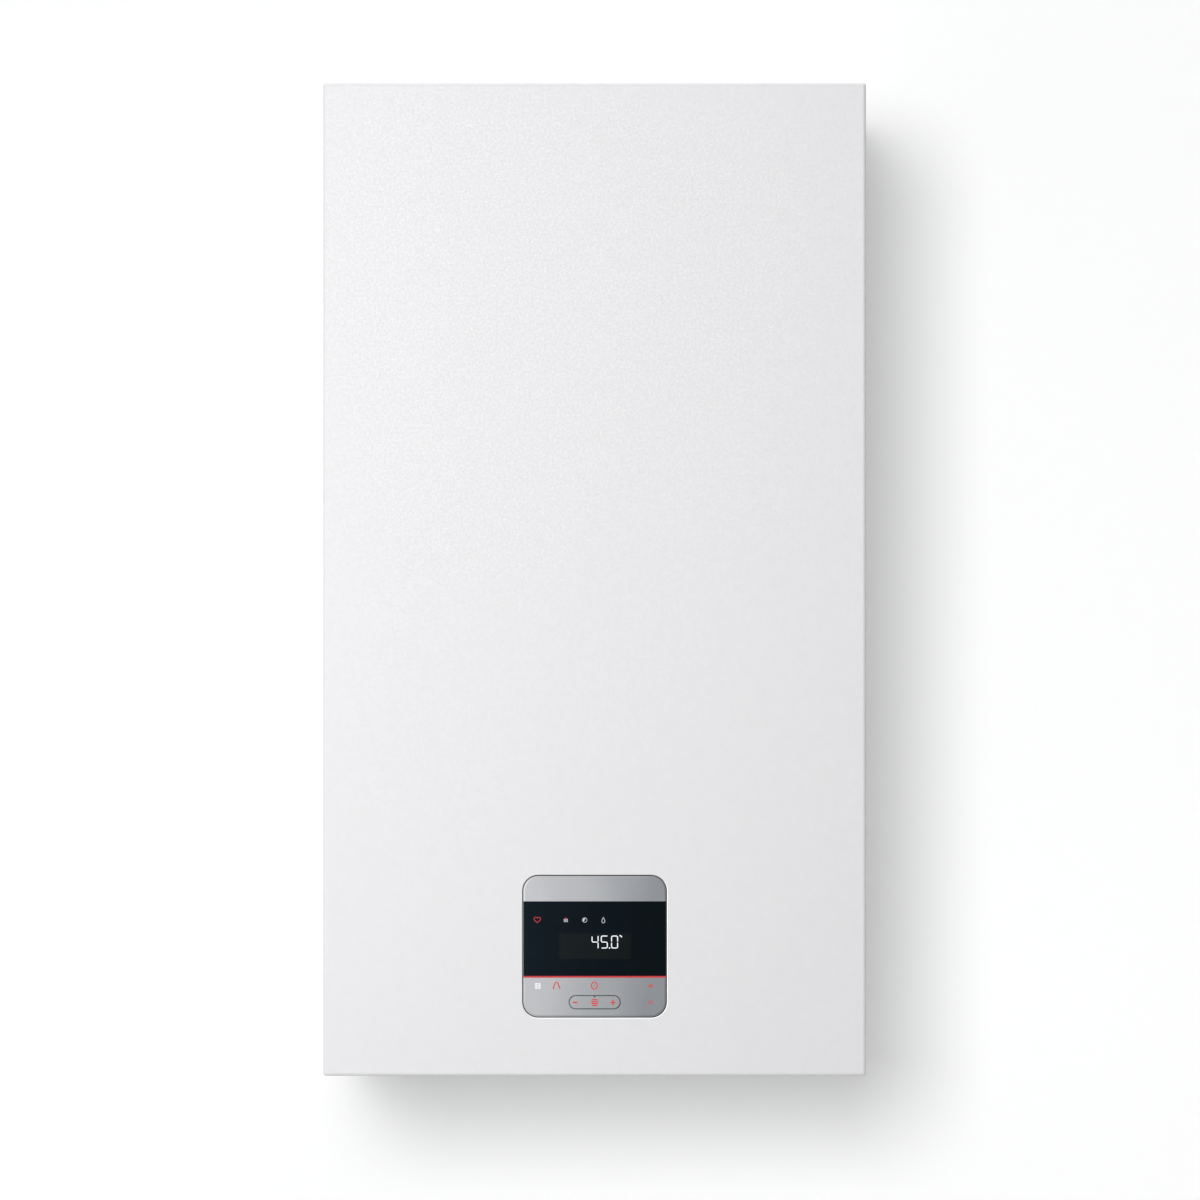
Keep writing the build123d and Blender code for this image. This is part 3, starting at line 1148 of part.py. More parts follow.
with BuildPart() as expansion_vessel:
    with BuildSketch(upright(VESSEL_X - VESSEL_THICKNESS / 2)):
        with Locations((-VESSEL_DEPTH, VESSEL_MIDDLE)):
            RectangleRounded(VESSEL_SPAN, VESSEL_HEIGHT, VESSEL_CORNER)
    extrude(amount=VESSEL_THICKNESS)
    fillet(expansion_vessel.faces().filter_by(Axis.X).edges(), VESSEL_ROUND)
    # rolled seam round the middle
    with BuildSketch(upright(VESSEL_X - 1.5)):
        with Locations((-VESSEL_DEPTH, VESSEL_MIDDLE)):
            RectangleRounded(
                VESSEL_SPAN + 2 * SEAM_RISE, VESSEL_HEIGHT + 2 * SEAM_RISE, VESSEL_CORNER + SEAM_RISE
            )
    extrude(amount=3)
    bar(
        spot(VESSEL_X, VESSEL_DEPTH, VESSEL_BOTTOM - VESSEL_NECK),
        spot(VESSEL_X, VESSEL_DEPTH, VESSEL_BOTTOM + VESSEL_NECK),
        HOSE_RADIUS + 3,
    )
    add(vessel_space.part, mode=Mode.SUBTRACT)

with BuildPart() as vessel_hose:
    hose_end = PIPE_DEPTH + BLOCK_RADIUS + HOSE_STUB
    hose_points = [
        spot(VESSEL_X, VESSEL_DEPTH, VESSEL_BOTTOM - VESSEL_NECK),
        spot(VESSEL_X, VESSEL_DEPTH, HOSE_Z + 80),
        spot(FLOW_X, hose_end + 2.1 * HOSE_BEND, HOSE_Z),
        spot(FLOW_X, hose_end, HOSE_Z),
    ]
    bent_pipe(hose_points, HOSE_RADIUS, HOSE_BEND)
    hexagon(hose_points[0], hose_points[0] - Vector(0, 0, 12), 20)

# ---------------------------------------------------------------- water circuits

PLATE_BACK = FRAME_FACE + 5.0
PLATE_FRONT = PLATE_BACK + PLATE_PACK_DEPTH
PORT_FACE = PLATE_FRONT + 6.0
SEATS = 6  # visible plate pairs
FLOW_RUN_Z = PUMP_Z - 21.0
DIVERTER_Z = FLOW_RUN_Z + 26.0
FLOW_ARM = BLOCK_RADIUS + 14.0
UNION = 14.0  # height of the heating unions
HEATING_NUT = 2.3 * BLOCK_RADIUS
RISER_NUT = 32.0
COCK_Z = HOSE_Z - 32.0  # drain cock
COCK_REACH = 34.0
STEM_REACH = 12.0
SPOOL_BORE = 9.5
SPOOL_RADIUS = 9.2
MOTOR_BOX = 52.0
PORT_ANCHOR = DRUM_BOTTOM - PORT_REACH

with BuildPart() as plate_exchanger:
    with BuildSketch(facing(PLATE_BACK)):
        with Locations((0, PLATE_Z)):
            RectangleRounded(PLATE_PACK_WIDTH - 6, PLATE_PACK_HEIGHT - 6, 15)
    extrude(amount=PLATE_PACK_DEPTH)
    plate_step = PLATE_PACK_DEPTH / SEATS
    for seat in range(SEATS):
        with BuildSketch(facing(PLATE_BACK + (seat + 0.25) * plate_step)):
            with Locations((0, PLATE_Z)):
                RectangleRounded(PLATE_PACK_WIDTH, PLATE_PACK_HEIGHT, 18)
        extrude(amount=plate_step / 2)
    with BuildSketch(facing(PLATE_FRONT)):
        with Locations((0, PLATE_Z)):
            with GridLocations(2 * STUB_PITCH, 2 * PORT_RISE, 2, 2):
                Circle(ARM_RADIUS)
    extrude(amount=PORT_FACE - PLATE_FRONT)
    with BuildSketch(facing(FRAME_FACE)):
        with Locations((0, PLATE_Z)):
            with GridLocations(STUB_PITCH, 0, 2, 1):
                Circle(FOOT_RADIUS)
    extrude(amount=PLATE_BACK - FRAME_FACE)

with BuildPart() as flow_block:
    bar(spot(FLOW_X, PIPE_DEPTH, BASE_Z), spot(FLOW_X, PIPE_DEPTH, DIVERTER_Z), BLOCK_RADIUS)
    stub(FLOW_X, PIPE_DEPTH, HEATING_THREAD)
    hexagon(spot(FLOW_X, PIPE_DEPTH, BASE_Z), spot(FLOW_X, PIPE_DEPTH, BASE_Z + UNION), HEATING_NUT)
    bar(spot(FLOW_X, PIPE_DEPTH, PORT_Z_HIGH), spot(HOT_X, PIPE_DEPTH, PORT_Z_HIGH), ARM_RADIUS)
    bar(spot(HOT_X, PORT_FACE, PORT_Z_HIGH), spot(HOT_X, PIPE_DEPTH + ARM_RADIUS, PORT_Z_HIGH), ARM_RADIUS)
    bar(spot(FLOW_X, PIPE_DEPTH, FLOW_RUN_Z), spot(FLOW_X + FLOW_ARM, PIPE_DEPTH, FLOW_RUN_Z), ARM_RADIUS + 2)
    bar(spot(FLOW_X, PIPE_DEPTH, HOSE_Z), spot(FLOW_X, hose_end, HOSE_Z), HOSE_RADIUS + 4)
    # drain cock with its spout and stem
    cock_face = spot(FLOW_X, PIPE_DEPTH + COCK_REACH, COCK_Z)
    spout = spot(FLOW_X, PIPE_DEPTH + COCK_REACH - 8, COCK_Z)
    bar(spot(FLOW_X, PIPE_DEPTH, COCK_Z), cock_face, 9)
    bar(spout - Vector(0, 0, 20), spout, 5)
    bar(cock_face, cock_face - Vector(0, STEM_REACH, 0), ROD_RADIUS)
    bar(
        spot(FLOW_X, PIPE_DEPTH, STUB_END), spot(FLOW_X, PIPE_DEPTH, DIVERTER_Z), SPOOL_BORE, Mode.SUBTRACT
    )

with BuildPart() as flow_pipe:
    flow_points = [
        spot(-RISER_X, PIPE_DEPTH, PORT_ANCHOR),
        spot(-RISER_X, PIPE_DEPTH, FLOW_RUN_Z),
        spot(FLOW_X + FLOW_ARM, PIPE_DEPTH, FLOW_RUN_Z),
    ]
    bent_pipe(flow_points, HEATING_PIPE, HEATING_BEND)
    hexagon(flow_points[0], flow_points[0] - Vector(0, 0, UNION), RISER_NUT)

with BuildPart() as diverter_motor:
    block(
        (FLOW_X - MOTOR_BOX / 2, FLOW_X + MOTOR_BOX / 2),
        (PIPE_DEPTH - MOTOR_BOX / 2, PIPE_DEPTH + MOTOR_BOX / 2),
        (DIVERTER_Z, DIVERTER_Z + MOTOR_BOX),
    )
    fillet(diverter_motor.edges().filter_by(Axis.Z), 8)
    chamfer(diverter_motor.faces().sort_by(Axis.Z)[-1].edges(), 4)
    bar(
        spot(FLOW_X, PIPE_DEPTH, DIVERTER_Z),
        spot(FLOW_X, PIPE_DEPTH, DIVERTER_Z + MOTOR_BOX * 0.7),
        ROD_RADIUS + ROD_PLAY,
        Mode.SUBTRACT,
    )

SPOOL_TRAVEL = 8.0

with BuildPart() as diverter_spindle:
    spool_bottom = PORT_Z_HIGH - ARM_RADIUS - SPOOL_TRAVEL
    bar(
        spot(FLOW_X, PIPE_DEPTH, spool_bottom),
        spot(FLOW_X, PIPE_DEPTH, DIVERTER_Z + MOTOR_BOX * 0.7 - SPOOL_TRAVEL - 2),
        ROD_RADIUS,
    )
    bar(spot(FLOW_X, PIPE_DEPTH, spool_bottom), spot(FLOW_X, PIPE_DEPTH, spool_bottom + 9), SPOOL_RADIUS)
    fillet(diverter_spindle.faces().sort_by(Axis.Z)[0].edges(), 3)

RELIEF_Z = BASE_Z + 85.0
NECK_RADIUS = 16.0
KNOB_STEM = 14.0

with BuildPart() as return_block:
    bar(
        spot(RETURN_X, PIPE_DEPTH, BASE_Z), spot(RETURN_X, PIPE_DEPTH, PUMP_Z - PUMP_RADIUS), NECK_RADIUS
    )
    stub(RETURN_X, PIPE_DEPTH, HEATING_THREAD)
    hexagon(spot(RETURN_X, PIPE_DEPTH, BASE_Z), spot(RETURN_X, PIPE_DEPTH, BASE_Z + UNION), HEATING_NUT)
    bar(spot(COLD_X, PIPE_DEPTH, PORT_Z_HIGH), spot(RETURN_X, PIPE_DEPTH, PORT_Z_HIGH), ARM_RADIUS)
    bar(spot(COLD_X, PORT_FACE, PORT_Z_HIGH), spot(COLD_X, PIPE_DEPTH + ARM_RADIUS, PORT_Z_HIGH), ARM_RADIUS)
    # pressure relief valve with its discharge pipe
    bar(spot(RETURN_X, PIPE_DEPTH, RELIEF_Z), spot(DISCHARGE_X, PIPE_DEPTH, RELIEF_Z), 9)
    bar(spot(DISCHARGE_X, PIPE_DEPTH, RELIEF_Z - 22), spot(DISCHARGE_X, PIPE_DEPTH, RELIEF_Z + 14), 13)
    bar(
        spot(DISCHARGE_X, PIPE_DEPTH, BASE_Z),
        spot(DISCHARGE_X, PIPE_DEPTH, RELIEF_Z),
        DISCHARGE_PIPE - NECK_STEP,
    )
    stub(DISCHARGE_X, PIPE_DEPTH, DISCHARGE_PIPE)
    bar(spot(DISCHARGE_X, PIPE_DEPTH, RELIEF_Z), spot(DISCHARGE_X, PIPE_DEPTH + 24, RELIEF_Z), 11)
    bar(
        spot(DISCHARGE_X, PIPE_DEPTH + 24, RELIEF_Z),
        spot(DISCHARGE_X, PIPE_DEPTH + 24 + KNOB_STEM, RELIEF_Z),
        ROD_RADIUS,
    )
    # filling valve between the cold inlet and the return, its stem through the base plate
    bar(
        spot(COLD_X + WATER_THREAD, PIPE_DEPTH, TANK_PIPE_Z),
        spot(RETURN_X, PIPE_DEPTH, TANK_PIPE_Z),
        WATER_PIPE - 1,
    )
    bar(spot(FILL_X, PIPE_DEPTH, BASE_Z), spot(FILL_X, PIPE_DEPTH, TANK_PIPE_Z + 13), 10)
    bar(spot(FILL_X, PIPE_DEPTH, BASE_Z - 3 - KNOB_STEM), spot(FILL_X, PIPE_DEPTH, BASE_Z), ROD_RADIUS)
    stub_bore(RETURN_X, PIPE_DEPTH, HEATING_THREAD - STUB_WALL)
    stub_bore(DISCHARGE_X, PIPE_DEPTH, DISCHARGE_PIPE - 2 * NECK_STEP)

PUMP_BACK = PIPE_DEPTH - PUMP_THICKNESS / 2
PUMP_FRONT = PIPE_DEPTH + PUMP_THICKNESS / 2
VENT_REACH = 40.0  # air vent beside the pump
VENT_X = RETURN_X + VENT_REACH

with BuildPart() as pump_housing:
    bar(spot(RETURN_X, PUMP_BACK, PUMP_Z), spot(RETURN_X, PUMP_FRONT, PUMP_Z), PUMP_RADIUS)
    fillet(pump_housing.faces().sort_by(Axis.Y)[-1].edges(), 8)
    bar(spot(RETURN_X, PIPE_DEPTH, PUMP_Z), spot(RETURN_X, PIPE_DEPTH, PUMP_TOP + PUMP_NECK), NECK_RADIUS)
    # air separator with its automatic vent
    bar(spot(VENT_X, PIPE_DEPTH, PUMP_Z), spot(VENT_X, PIPE_DEPTH, PUMP_TOP), 13)
    bar(spot(VENT_X, PIPE_DEPTH, PUMP_TOP), spot(VENT_X, PIPE_DEPTH, PUMP_TOP + 10), 4)
    bar(
        spot(RETURN_X, PUMP_BACK + 6, PUMP_Z),
        spot(RETURN_X, PUMP_FRONT, PUMP_Z),
        PUMP_RADIUS - 7,
        Mode.SUBTRACT,
    )

with BuildPart() as pump_motor:
    bar(spot(RETURN_X, PUMP_FRONT, PUMP_Z), spot(RETURN_X, PUMP_FRONT + 8, PUMP_Z), PUMP_RADIUS - 2)
    bar(
        spot(RETURN_X, PUMP_FRONT, PUMP_Z),
        spot(RETURN_X, PUMP_FRONT + PUMP_MOTOR_LENGTH, PUMP_Z),
        PUMP_RADIUS - 10,
    )
    fillet(pump_motor.faces().sort_by(Axis.Y)[0].edges(), 5)
    # electronics box on the side of the motor
    block(
        (RETURN_X - 30, RETURN_X + 30),
        (PUMP_FRONT + 14, PUMP_FRONT + PUMP_MOTOR_LENGTH - 10),
        (PUMP_Z, PUMP_Z + PUMP_RADIUS),
    )
    bar(
        spot(RETURN_X, PUMP_FRONT, PUMP_Z),
        spot(RETURN_X, PUMP_FRONT + PUMP_MOTOR_LENGTH - 12, PUMP_Z),
        12.4,
        Mode.SUBTRACT,
    )

with BuildPart() as pump_rotor:
    bar(spot(RETURN_X, PUMP_BACK + 10, PUMP_Z), spot(RETURN_X, PUMP_BACK + 12, PUMP_Z), PUMP_RADIUS - 12)
    bar(spot(RETURN_X, PUMP_FRONT - 6, PUMP_Z), spot(RETURN_X, PUMP_FRONT - 4, PUMP_Z), PUMP_RADIUS - 12)
    with BuildSketch(facing(PUMP_BACK + 12)):
        with Locations((RETURN_X, PUMP_Z)):
            with PolarLocations(0, 6):
                with Locations((20, 6)):
                    Rectangle(24, 1.5, rotation=20)
    extrude(amount=PUMP_THICKNESS - 18)
    bar(spot(RETURN_X, PUMP_BACK + 12, PUMP_Z), spot(RETURN_X, PUMP_FRONT + 6, PUMP_Z), 4)
    bar(
        spot(RETURN_X, PUMP_FRONT + 6, PUMP_Z),
        spot(RETURN_X, PUMP_FRONT + PUMP_MOTOR_LENGTH - 20, PUMP_Z),
        12,
    )

with BuildPart() as return_pipe:
    return_points = [
        spot(RISER_X, PIPE_DEPTH, PORT_ANCHOR),
        spot(RISER_X, PIPE_DEPTH, RETURN_RUN_Z),
        spot(RETURN_X, PIPE_DEPTH, RETURN_RUN_Z),
        spot(RETURN_X, PIPE_DEPTH, PUMP_TOP + PUMP_NECK),
    ]
    bent_pipe(return_points, HEATING_PIPE, HEATING_BEND)
    hexagon(return_points[0], return_points[0] - Vector(0, 0, UNION), RISER_NUT)

CHARGE_LIFT = 60.0  # the pump's axis above the base
CHARGE_HALF = 15.0  # half the depth of its volute
CHARGE_REACH = 60.0  # its motor's end in front of the pipes
CHARGE_Z = BASE_Z + CHARGE_LIFT
CHARGE_RADIUS = 24.0
CHARGE_NECK = CHARGE_RADIUS + 4.0  # necks above and below the pump's axis
CHARGE_BACK = PIPE_DEPTH - CHARGE_HALF
CHARGE_MIDDLE = PIPE_DEPTH + CHARGE_HALF
CHARGE_FRONT = PIPE_DEPTH + CHARGE_REACH

with BuildPart() as charge_pump:
    bar(spot(COLD_X, CHARGE_BACK, CHARGE_Z), spot(COLD_X, CHARGE_MIDDLE, CHARGE_Z), CHARGE_RADIUS)
    bar(spot(COLD_X, CHARGE_MIDDLE, CHARGE_Z), spot(COLD_X, CHARGE_FRONT, CHARGE_Z), CHARGE_RADIUS - 3)
    fillet(charge_pump.faces().sort_by(Axis.Y)[0].edges(), 4)
    bar(
        spot(COLD_X, PIPE_DEPTH, CHARGE_Z - CHARGE_NECK),
        spot(COLD_X, PIPE_DEPTH, CHARGE_Z + CHARGE_NECK),
        WATER_THREAD,
    )


def tank_branch(side):
    """Route from a stub's pipe back through the middle frame and up into its tank."""
    stub = side * COLD_X
    return [
        spot(stub, PIPE_DEPTH, TANK_PIPE_Z),
        spot(side * TANK_X, TANK_DEPTH, TANK_PIPE_Z),
        spot(side * TANK_X, TANK_DEPTH, TANK_BOTTOM - PORT_LENGTH),
    ]


with BuildPart() as hot_pipe:
    hot_points = [
        spot(HOT_X, PIPE_DEPTH, BASE_Z),
        spot(HOT_X, PIPE_DEPTH, PORT_Z_LOW),
        spot(HOT_X, PORT_FACE, PORT_Z_LOW),
    ]
    bent_pipe(hot_points, WATER_PIPE, 2 * WATER_PIPE)
    bent_pipe(tank_branch(-1), WATER_PIPE, 2 * WATER_PIPE)
    stub(HOT_X, PIPE_DEPTH, WATER_THREAD)
    hexagon(spot(HOT_X, PIPE_DEPTH, BASE_Z), spot(HOT_X, PIPE_DEPTH, BASE_Z + 12), 3.6 * WATER_PIPE)
    stub_bore(HOT_X, PIPE_DEPTH, WATER_THREAD - STUB_WALL)

with BuildPart() as cold_pipe:
    bar(spot(COLD_X, PIPE_DEPTH, BASE_Z), spot(COLD_X, PIPE_DEPTH, CHARGE_Z - CHARGE_NECK), WATER_PIPE)
    bent_pipe(tank_branch(1), WATER_PIPE, 2 * WATER_PIPE)
    stub(COLD_X, PIPE_DEPTH, WATER_THREAD)
    hexagon(spot(COLD_X, PIPE_DEPTH, BASE_Z), spot(COLD_X, PIPE_DEPTH, BASE_Z + 12), 3.6 * WATER_PIPE)
    stub_bore(COLD_X, PIPE_DEPTH, WATER_THREAD - STUB_WALL)
    top_points = [
        spot(COLD_X, PIPE_DEPTH, CHARGE_Z + CHARGE_NECK),
        spot(COLD_X, PIPE_DEPTH, PORT_Z_LOW),
        spot(COLD_X, PORT_FACE, PORT_Z_LOW),
    ]
    bent_pipe(top_points, WATER_PIPE, 2 * WATER_PIPE)

KNOB_RADIUS = 14.0
GRIPS = 6


def star_knob(start, end, radius):
    """A lobed knob from start to end with a blind bore for its stem, in the open part."""
    run = end - start
    with BuildSketch(Plane(origin=start, z_dir=run)) as outline:
        Circle(radius)
        with PolarLocations(radius * 1.25, GRIPS):
            Circle(radius * 0.45, mode=Mode.SUBTRACT)
    extrude(outline.sketch, amount=run.length)


with BuildPart() as relief_knob:
    relief_back = spot(DISCHARGE_X, PIPE_DEPTH + 24 + FIT, RELIEF_Z)
    star_knob(relief_back, relief_back + Vector(0, -22, 0), KNOB_RADIUS)
    bar(relief_back, relief_back + Vector(0, -KNOB_STEM, 0), ROD_RADIUS + ROD_PLAY, Mode.SUBTRACT)

with BuildPart() as drain_knob:
    drain_back = spot(FLOW_X, PIPE_DEPTH + COCK_REACH + FIT, COCK_Z)
    star_knob(drain_back, drain_back + Vector(0, -20, 0), KNOB_RADIUS - 3)
    bar(drain_back, drain_back + Vector(0, -KNOB_STEM, 0), ROD_RADIUS + ROD_PLAY, Mode.SUBTRACT)

with BuildPart() as fill_knob:
    fill_top = spot(FILL_X, PIPE_DEPTH, BASE_Z - 3 - FIT)
    star_knob(fill_top, fill_top - Vector(0, 0, 24), KNOB_RADIUS)
    bar(fill_top, fill_top - Vector(0, 0, KNOB_STEM), ROD_RADIUS + ROD_PLAY, Mode.SUBTRACT)

with BuildPart() as condensate_trap:
    trap_bottom = BASE_Z
    trap_top = trap_bottom + TRAP_HEIGHT
    bar(spot(TRAP_X, TRAP_DEPTH, trap_bottom), spot(TRAP_X, TRAP_DEPTH, trap_top), TRAP_RADIUS)
    fillet(condensate_trap.faces().sort_by(Axis.Z)[0].edges(), 8)
    bar(
        spot(TRAP_X, TRAP_DEPTH, trap_bottom + TRAP_HEIGHT * 0.45),
        spot(TRAP_X, TRAP_DEPTH, trap_bottom + TRAP_HEIGHT * 0.55),
        TRAP_RADIUS + 3,
    )
    bar(spot(TRAP_X, TRAP_DEPTH, trap_top), spot(TRAP_X, TRAP_DEPTH, trap_top + 14), WATER_THREAD)
    stub(TRAP_X, TRAP_DEPTH, WATER_THREAD)
    stub_bore(TRAP_X, TRAP_DEPTH, WATER_THREAD - STUB_WALL)

with BuildPart() as condensate_hose:
    bar(
        spot(TRAP_X, TRAP_DEPTH, trap_top + 14), spot(TRAP_X, TRAP_DEPTH, PORT_ANCHOR), WATER_PIPE + 1
    )

with BuildPart() as cable_gland:
    bar(
        spot(GLAND_X, GLAND_DEPTH, BASE_Z - 14),
        spot(GLAND_X, GLAND_DEPTH, BASE_Z + 8),
        2 * GLAND_BORE - FIT,
    )
    hexagon(
        spot(GLAND_X, GLAND_DEPTH, BASE_Z - PLATE - 6),
        spot(GLAND_X, GLAND_DEPTH, BASE_Z - PLATE),
        5 * GLAND_BORE,
    )
    hexagon(spot(GLAND_X, GLAND_DEPTH, BASE_Z), spot(GLAND_X, GLAND_DEPTH, BASE_Z + 4), 5 * GLAND_BORE)
    bar(
        spot(GLAND_X, GLAND_DEPTH, BASE_Z - 14),
        spot(GLAND_X, GLAND_DEPTH, BASE_Z + 8),
        GLAND_BORE,
        Mode.SUBTRACT,
    )

# ---------------------------------------------------------------- control box

BOX_MIDDLE_Z = (BOX_TOP + BOX_BOTTOM) / 2
FASCIA_FRONT = CASE_DEPTH - FASCIA_RECESS
FASCIA_BACK = FASCIA_FRONT - FASCIA_THICKNESS
FASCIA_TOP = FASCIA_Z + FASCIA_HEIGHT / 2
LENS_TOP = FASCIA_TOP - TOP_BAND
LENS_BOTTOM = LENS_TOP - LENS_HEIGHT
ACCENT_BOTTOM = LENS_BOTTOM - ACCENT_HEIGHT
INLAY = 1.2
KEY_Z = FASCIA_Z - FASCIA_HEIGHT / 2 + KEY_RISE
BOSS_INSET = 3.0
KEY_PROUD = 0.2
KEY_RIDGE = 1.2  # radius of the ridge it rocks on
KEY_FLANGE = 1.0
KEY_LIP = 1.5
KEY_SWING = 1.8  # room for the rocking key behind the fascia
BOARD = 1.6
DISPLAY_BACK = FASCIA_BACK - 3 * KEY_SWING - KEY_FLANGE - BOARD
KEY_PIVOT_DEPTH = DISPLAY_BACK + BOARD + FIT + KEY_RIDGE
PLUGS = 5
PLUG_MARGIN = 60.0
PLUG_PITCH = (BOX_WIDTH - 2 * PLUG_MARGIN) / (PLUGS - 1)
PLUG_WIDTH = 44.0
PLUG_HEIGHT = 14.0
PLUG_DROP = 30.0  # plugs below the box's top
PLUG_DEPTH = 9.5
COVER_RIB = 10.0

with BuildPart() as control_housing:
    block((-BOX_WIDTH / 2, BOX_WIDTH / 2), (BOX_BACK, BOX_FRONT), (BOX_BOTTOM, BOX_TOP))
    fillet(control_housing.edges().filter_by(Axis.Y), 8)
    fillet(control_housing.faces().sort_by(Axis.Y)[0].edges(), 6)
    with BuildSketch(facing(BOX_FRONT - 1)):
        with Locations((0, FASCIA_Z)):
            RectangleRounded(
                FASCIA_WIDTH - 2 * BOSS_INSET, FASCIA_HEIGHT - 2 * BOSS_INSET, FASCIA_CORNER - BOSS_INSET
            )
    extrude(amount=FASCIA_BACK - BOX_FRONT + 1)
    with BuildSketch(facing(BOX_BACK)):
        with Locations((0, BOX_MIDDLE_Z)):
            RectangleRounded(BOX_WIDTH - 2 * BOX_WALL, BOX_HEIGHT - 2 * BOX_WALL, 5.5)
    extrude(amount=BOX_DEPTH - BOX_WALL, mode=Mode.SUBTRACT)
    with BuildSketch(facing(BOX_FRONT - 2 * BOX_WALL)):
        with Locations((0, FASCIA_Z)):
            RectangleRounded(
                FASCIA_WIDTH - 2 * (BOSS_INSET + BOX_WALL), FASCIA_HEIGHT - 2 * (BOSS_INSET + BOX_WALL), 6
            )
    extrude(amount=CASE_DEPTH, mode=Mode.SUBTRACT)
    # cooling slots in the top
    with BuildSketch(level(BOX_TOP)):
        with Locations((0, -(BOX_FRONT + BOX_BACK) / 2)):
            with GridLocations(16, 0, 17, 1):
                Rectangle(4, BOX_DEPTH * 0.5)
    extrude(amount=-2 * BOX_WALL, mode=Mode.SUBTRACT)
    # pivots that turn in the ears of the base plate
    for side in (-1, 1):
        bar(
            spot(side * (BOX_WIDTH / 2 - BOX_WALL), PIVOT_DEPTH, PIVOT_Z),
            spot(side * (BOX_WIDTH / 2 + EAR_GAP + EAR_THICKNESS + 1), PIVOT_DEPTH, PIVOT_Z),
            PIVOT_RADIUS,
        )

with BuildPart() as control_cover:
    with BuildSketch(facing(BOX_BACK)):
        with Locations((0, BOX_MIDDLE_Z)):
            RectangleRounded(BOX_WIDTH - 2 * (BOX_WALL + FIT), BOX_HEIGHT - 2 * (BOX_WALL + FIT), 5)
    extrude(amount=BOX_WALL)
    # openings for the plugs
    with BuildSketch(facing(BOX_BACK)):
        with Locations((0, BOX_TOP - PLUG_DROP)):
            with GridLocations(PLUG_PITCH, 0, PLUGS, 1):
                Rectangle(PLUG_WIDTH + HOLE_PLAY, PLUG_HEIGHT + HOLE_PLAY)
    extrude(amount=BOX_WALL, mode=Mode.SUBTRACT)
    with BuildSketch(facing(BOX_BACK + BOX_WALL)):
        with Locations((0, BOX_MIDDLE_Z)):
            Rectangle(BOX_WIDTH - 40, BOX_HEIGHT - 90)
            Rectangle(BOX_WIDTH - 44, BOX_HEIGHT - 94, mode=Mode.SUBTRACT)
    extrude(amount=COVER_RIB)

BOARD_BACK = BOX_BACK + BOX_WALL + COVER_RIB
BOARD_MARGIN = 12.0
BOARD_HALF = BOX_WIDTH / 2 - BOARD_MARGIN
RELAYS = 4
RELAY_PITCH = 24.0
RELAY_WIDTH = 18.0
TRANSFORMER_INSET = 28.0  # from the board's edge
TRANSFORMER_WIDTH = 55.0
TRANSFORMER_DEPTH = 42.0
TRANSFORMER_HEIGHT = 60.0
CAPACITORS = 2
CAPACITOR_PITCH = 22.0
CAPACITOR_RADIUS = 9.0
CAPACITOR_HEIGHT = 28.0
CAPACITOR_DROP = 60.0  # below the box's top

with BuildPart() as main_board:
    block(
        mirrored(BOARD_HALF),
        (BOARD_BACK, BOARD_BACK + BOARD),
        (BOX_BOTTOM + BOARD_MARGIN, BOX_TOP - BOARD_MARGIN),
    )
    board_front = BOARD_BACK + BOARD
    # transformer, capacitors, relays and plugs
    transformer = -BOARD_HALF + TRANSFORMER_INSET
    block(
        (transformer, transformer + TRANSFORMER_WIDTH),
        (board_front, board_front + TRANSFORMER_DEPTH),
        (BOX_MIDDLE_Z - TRANSFORMER_HEIGHT / 2, BOX_MIDDLE_Z + TRANSFORMER_HEIGHT / 2),
    )
    for place in range(CAPACITORS):
        x = transformer + TRANSFORMER_WIDTH + CAPACITOR_PITCH * (place + 1)
        base = spot(x, board_front, BOX_TOP - CAPACITOR_DROP)
        bar(base, base + spot(0, CAPACITOR_HEIGHT, 0), CAPACITOR_RADIUS)
    for place in range(RELAYS):
        x = BOARD_HALF - RELAY_WIDTH - RELAY_PITCH * (place + 0.75)
        block((x, x + RELAY_WIDTH), (board_front, board_front + 20), (BOX_TOP - 80, BOX_TOP - 50))
    with BuildSketch(facing(BOARD_BACK - PLUG_DEPTH)):
        with Locations((0, BOX_TOP - PLUG_DROP)):
            with GridLocations(PLUG_PITCH, 0, PLUGS, 1):
                Rectangle(PLUG_WIDTH, PLUG_HEIGHT)
    extrude(amount=PLUG_DEPTH)

MODULE_HALF = 34.0

with BuildPart() as display_board:
    display_half = FASCIA_WIDTH / 2 - BOSS_INSET - BOX_WALL - 2
    block(
        mirrored(display_half),
        (DISPLAY_BACK, DISPLAY_BACK + BOARD),
        (FASCIA_Z - FASCIA_HEIGHT / 2 + 9, FASCIA_TOP - 9),
    )
    # liquid-crystal module
    block(
        mirrored(MODULE_HALF),
        (DISPLAY_BACK + BOARD, FASCIA_BACK - 1),
        (LENS_BOTTOM + 6, LENS_TOP - 10),
    )

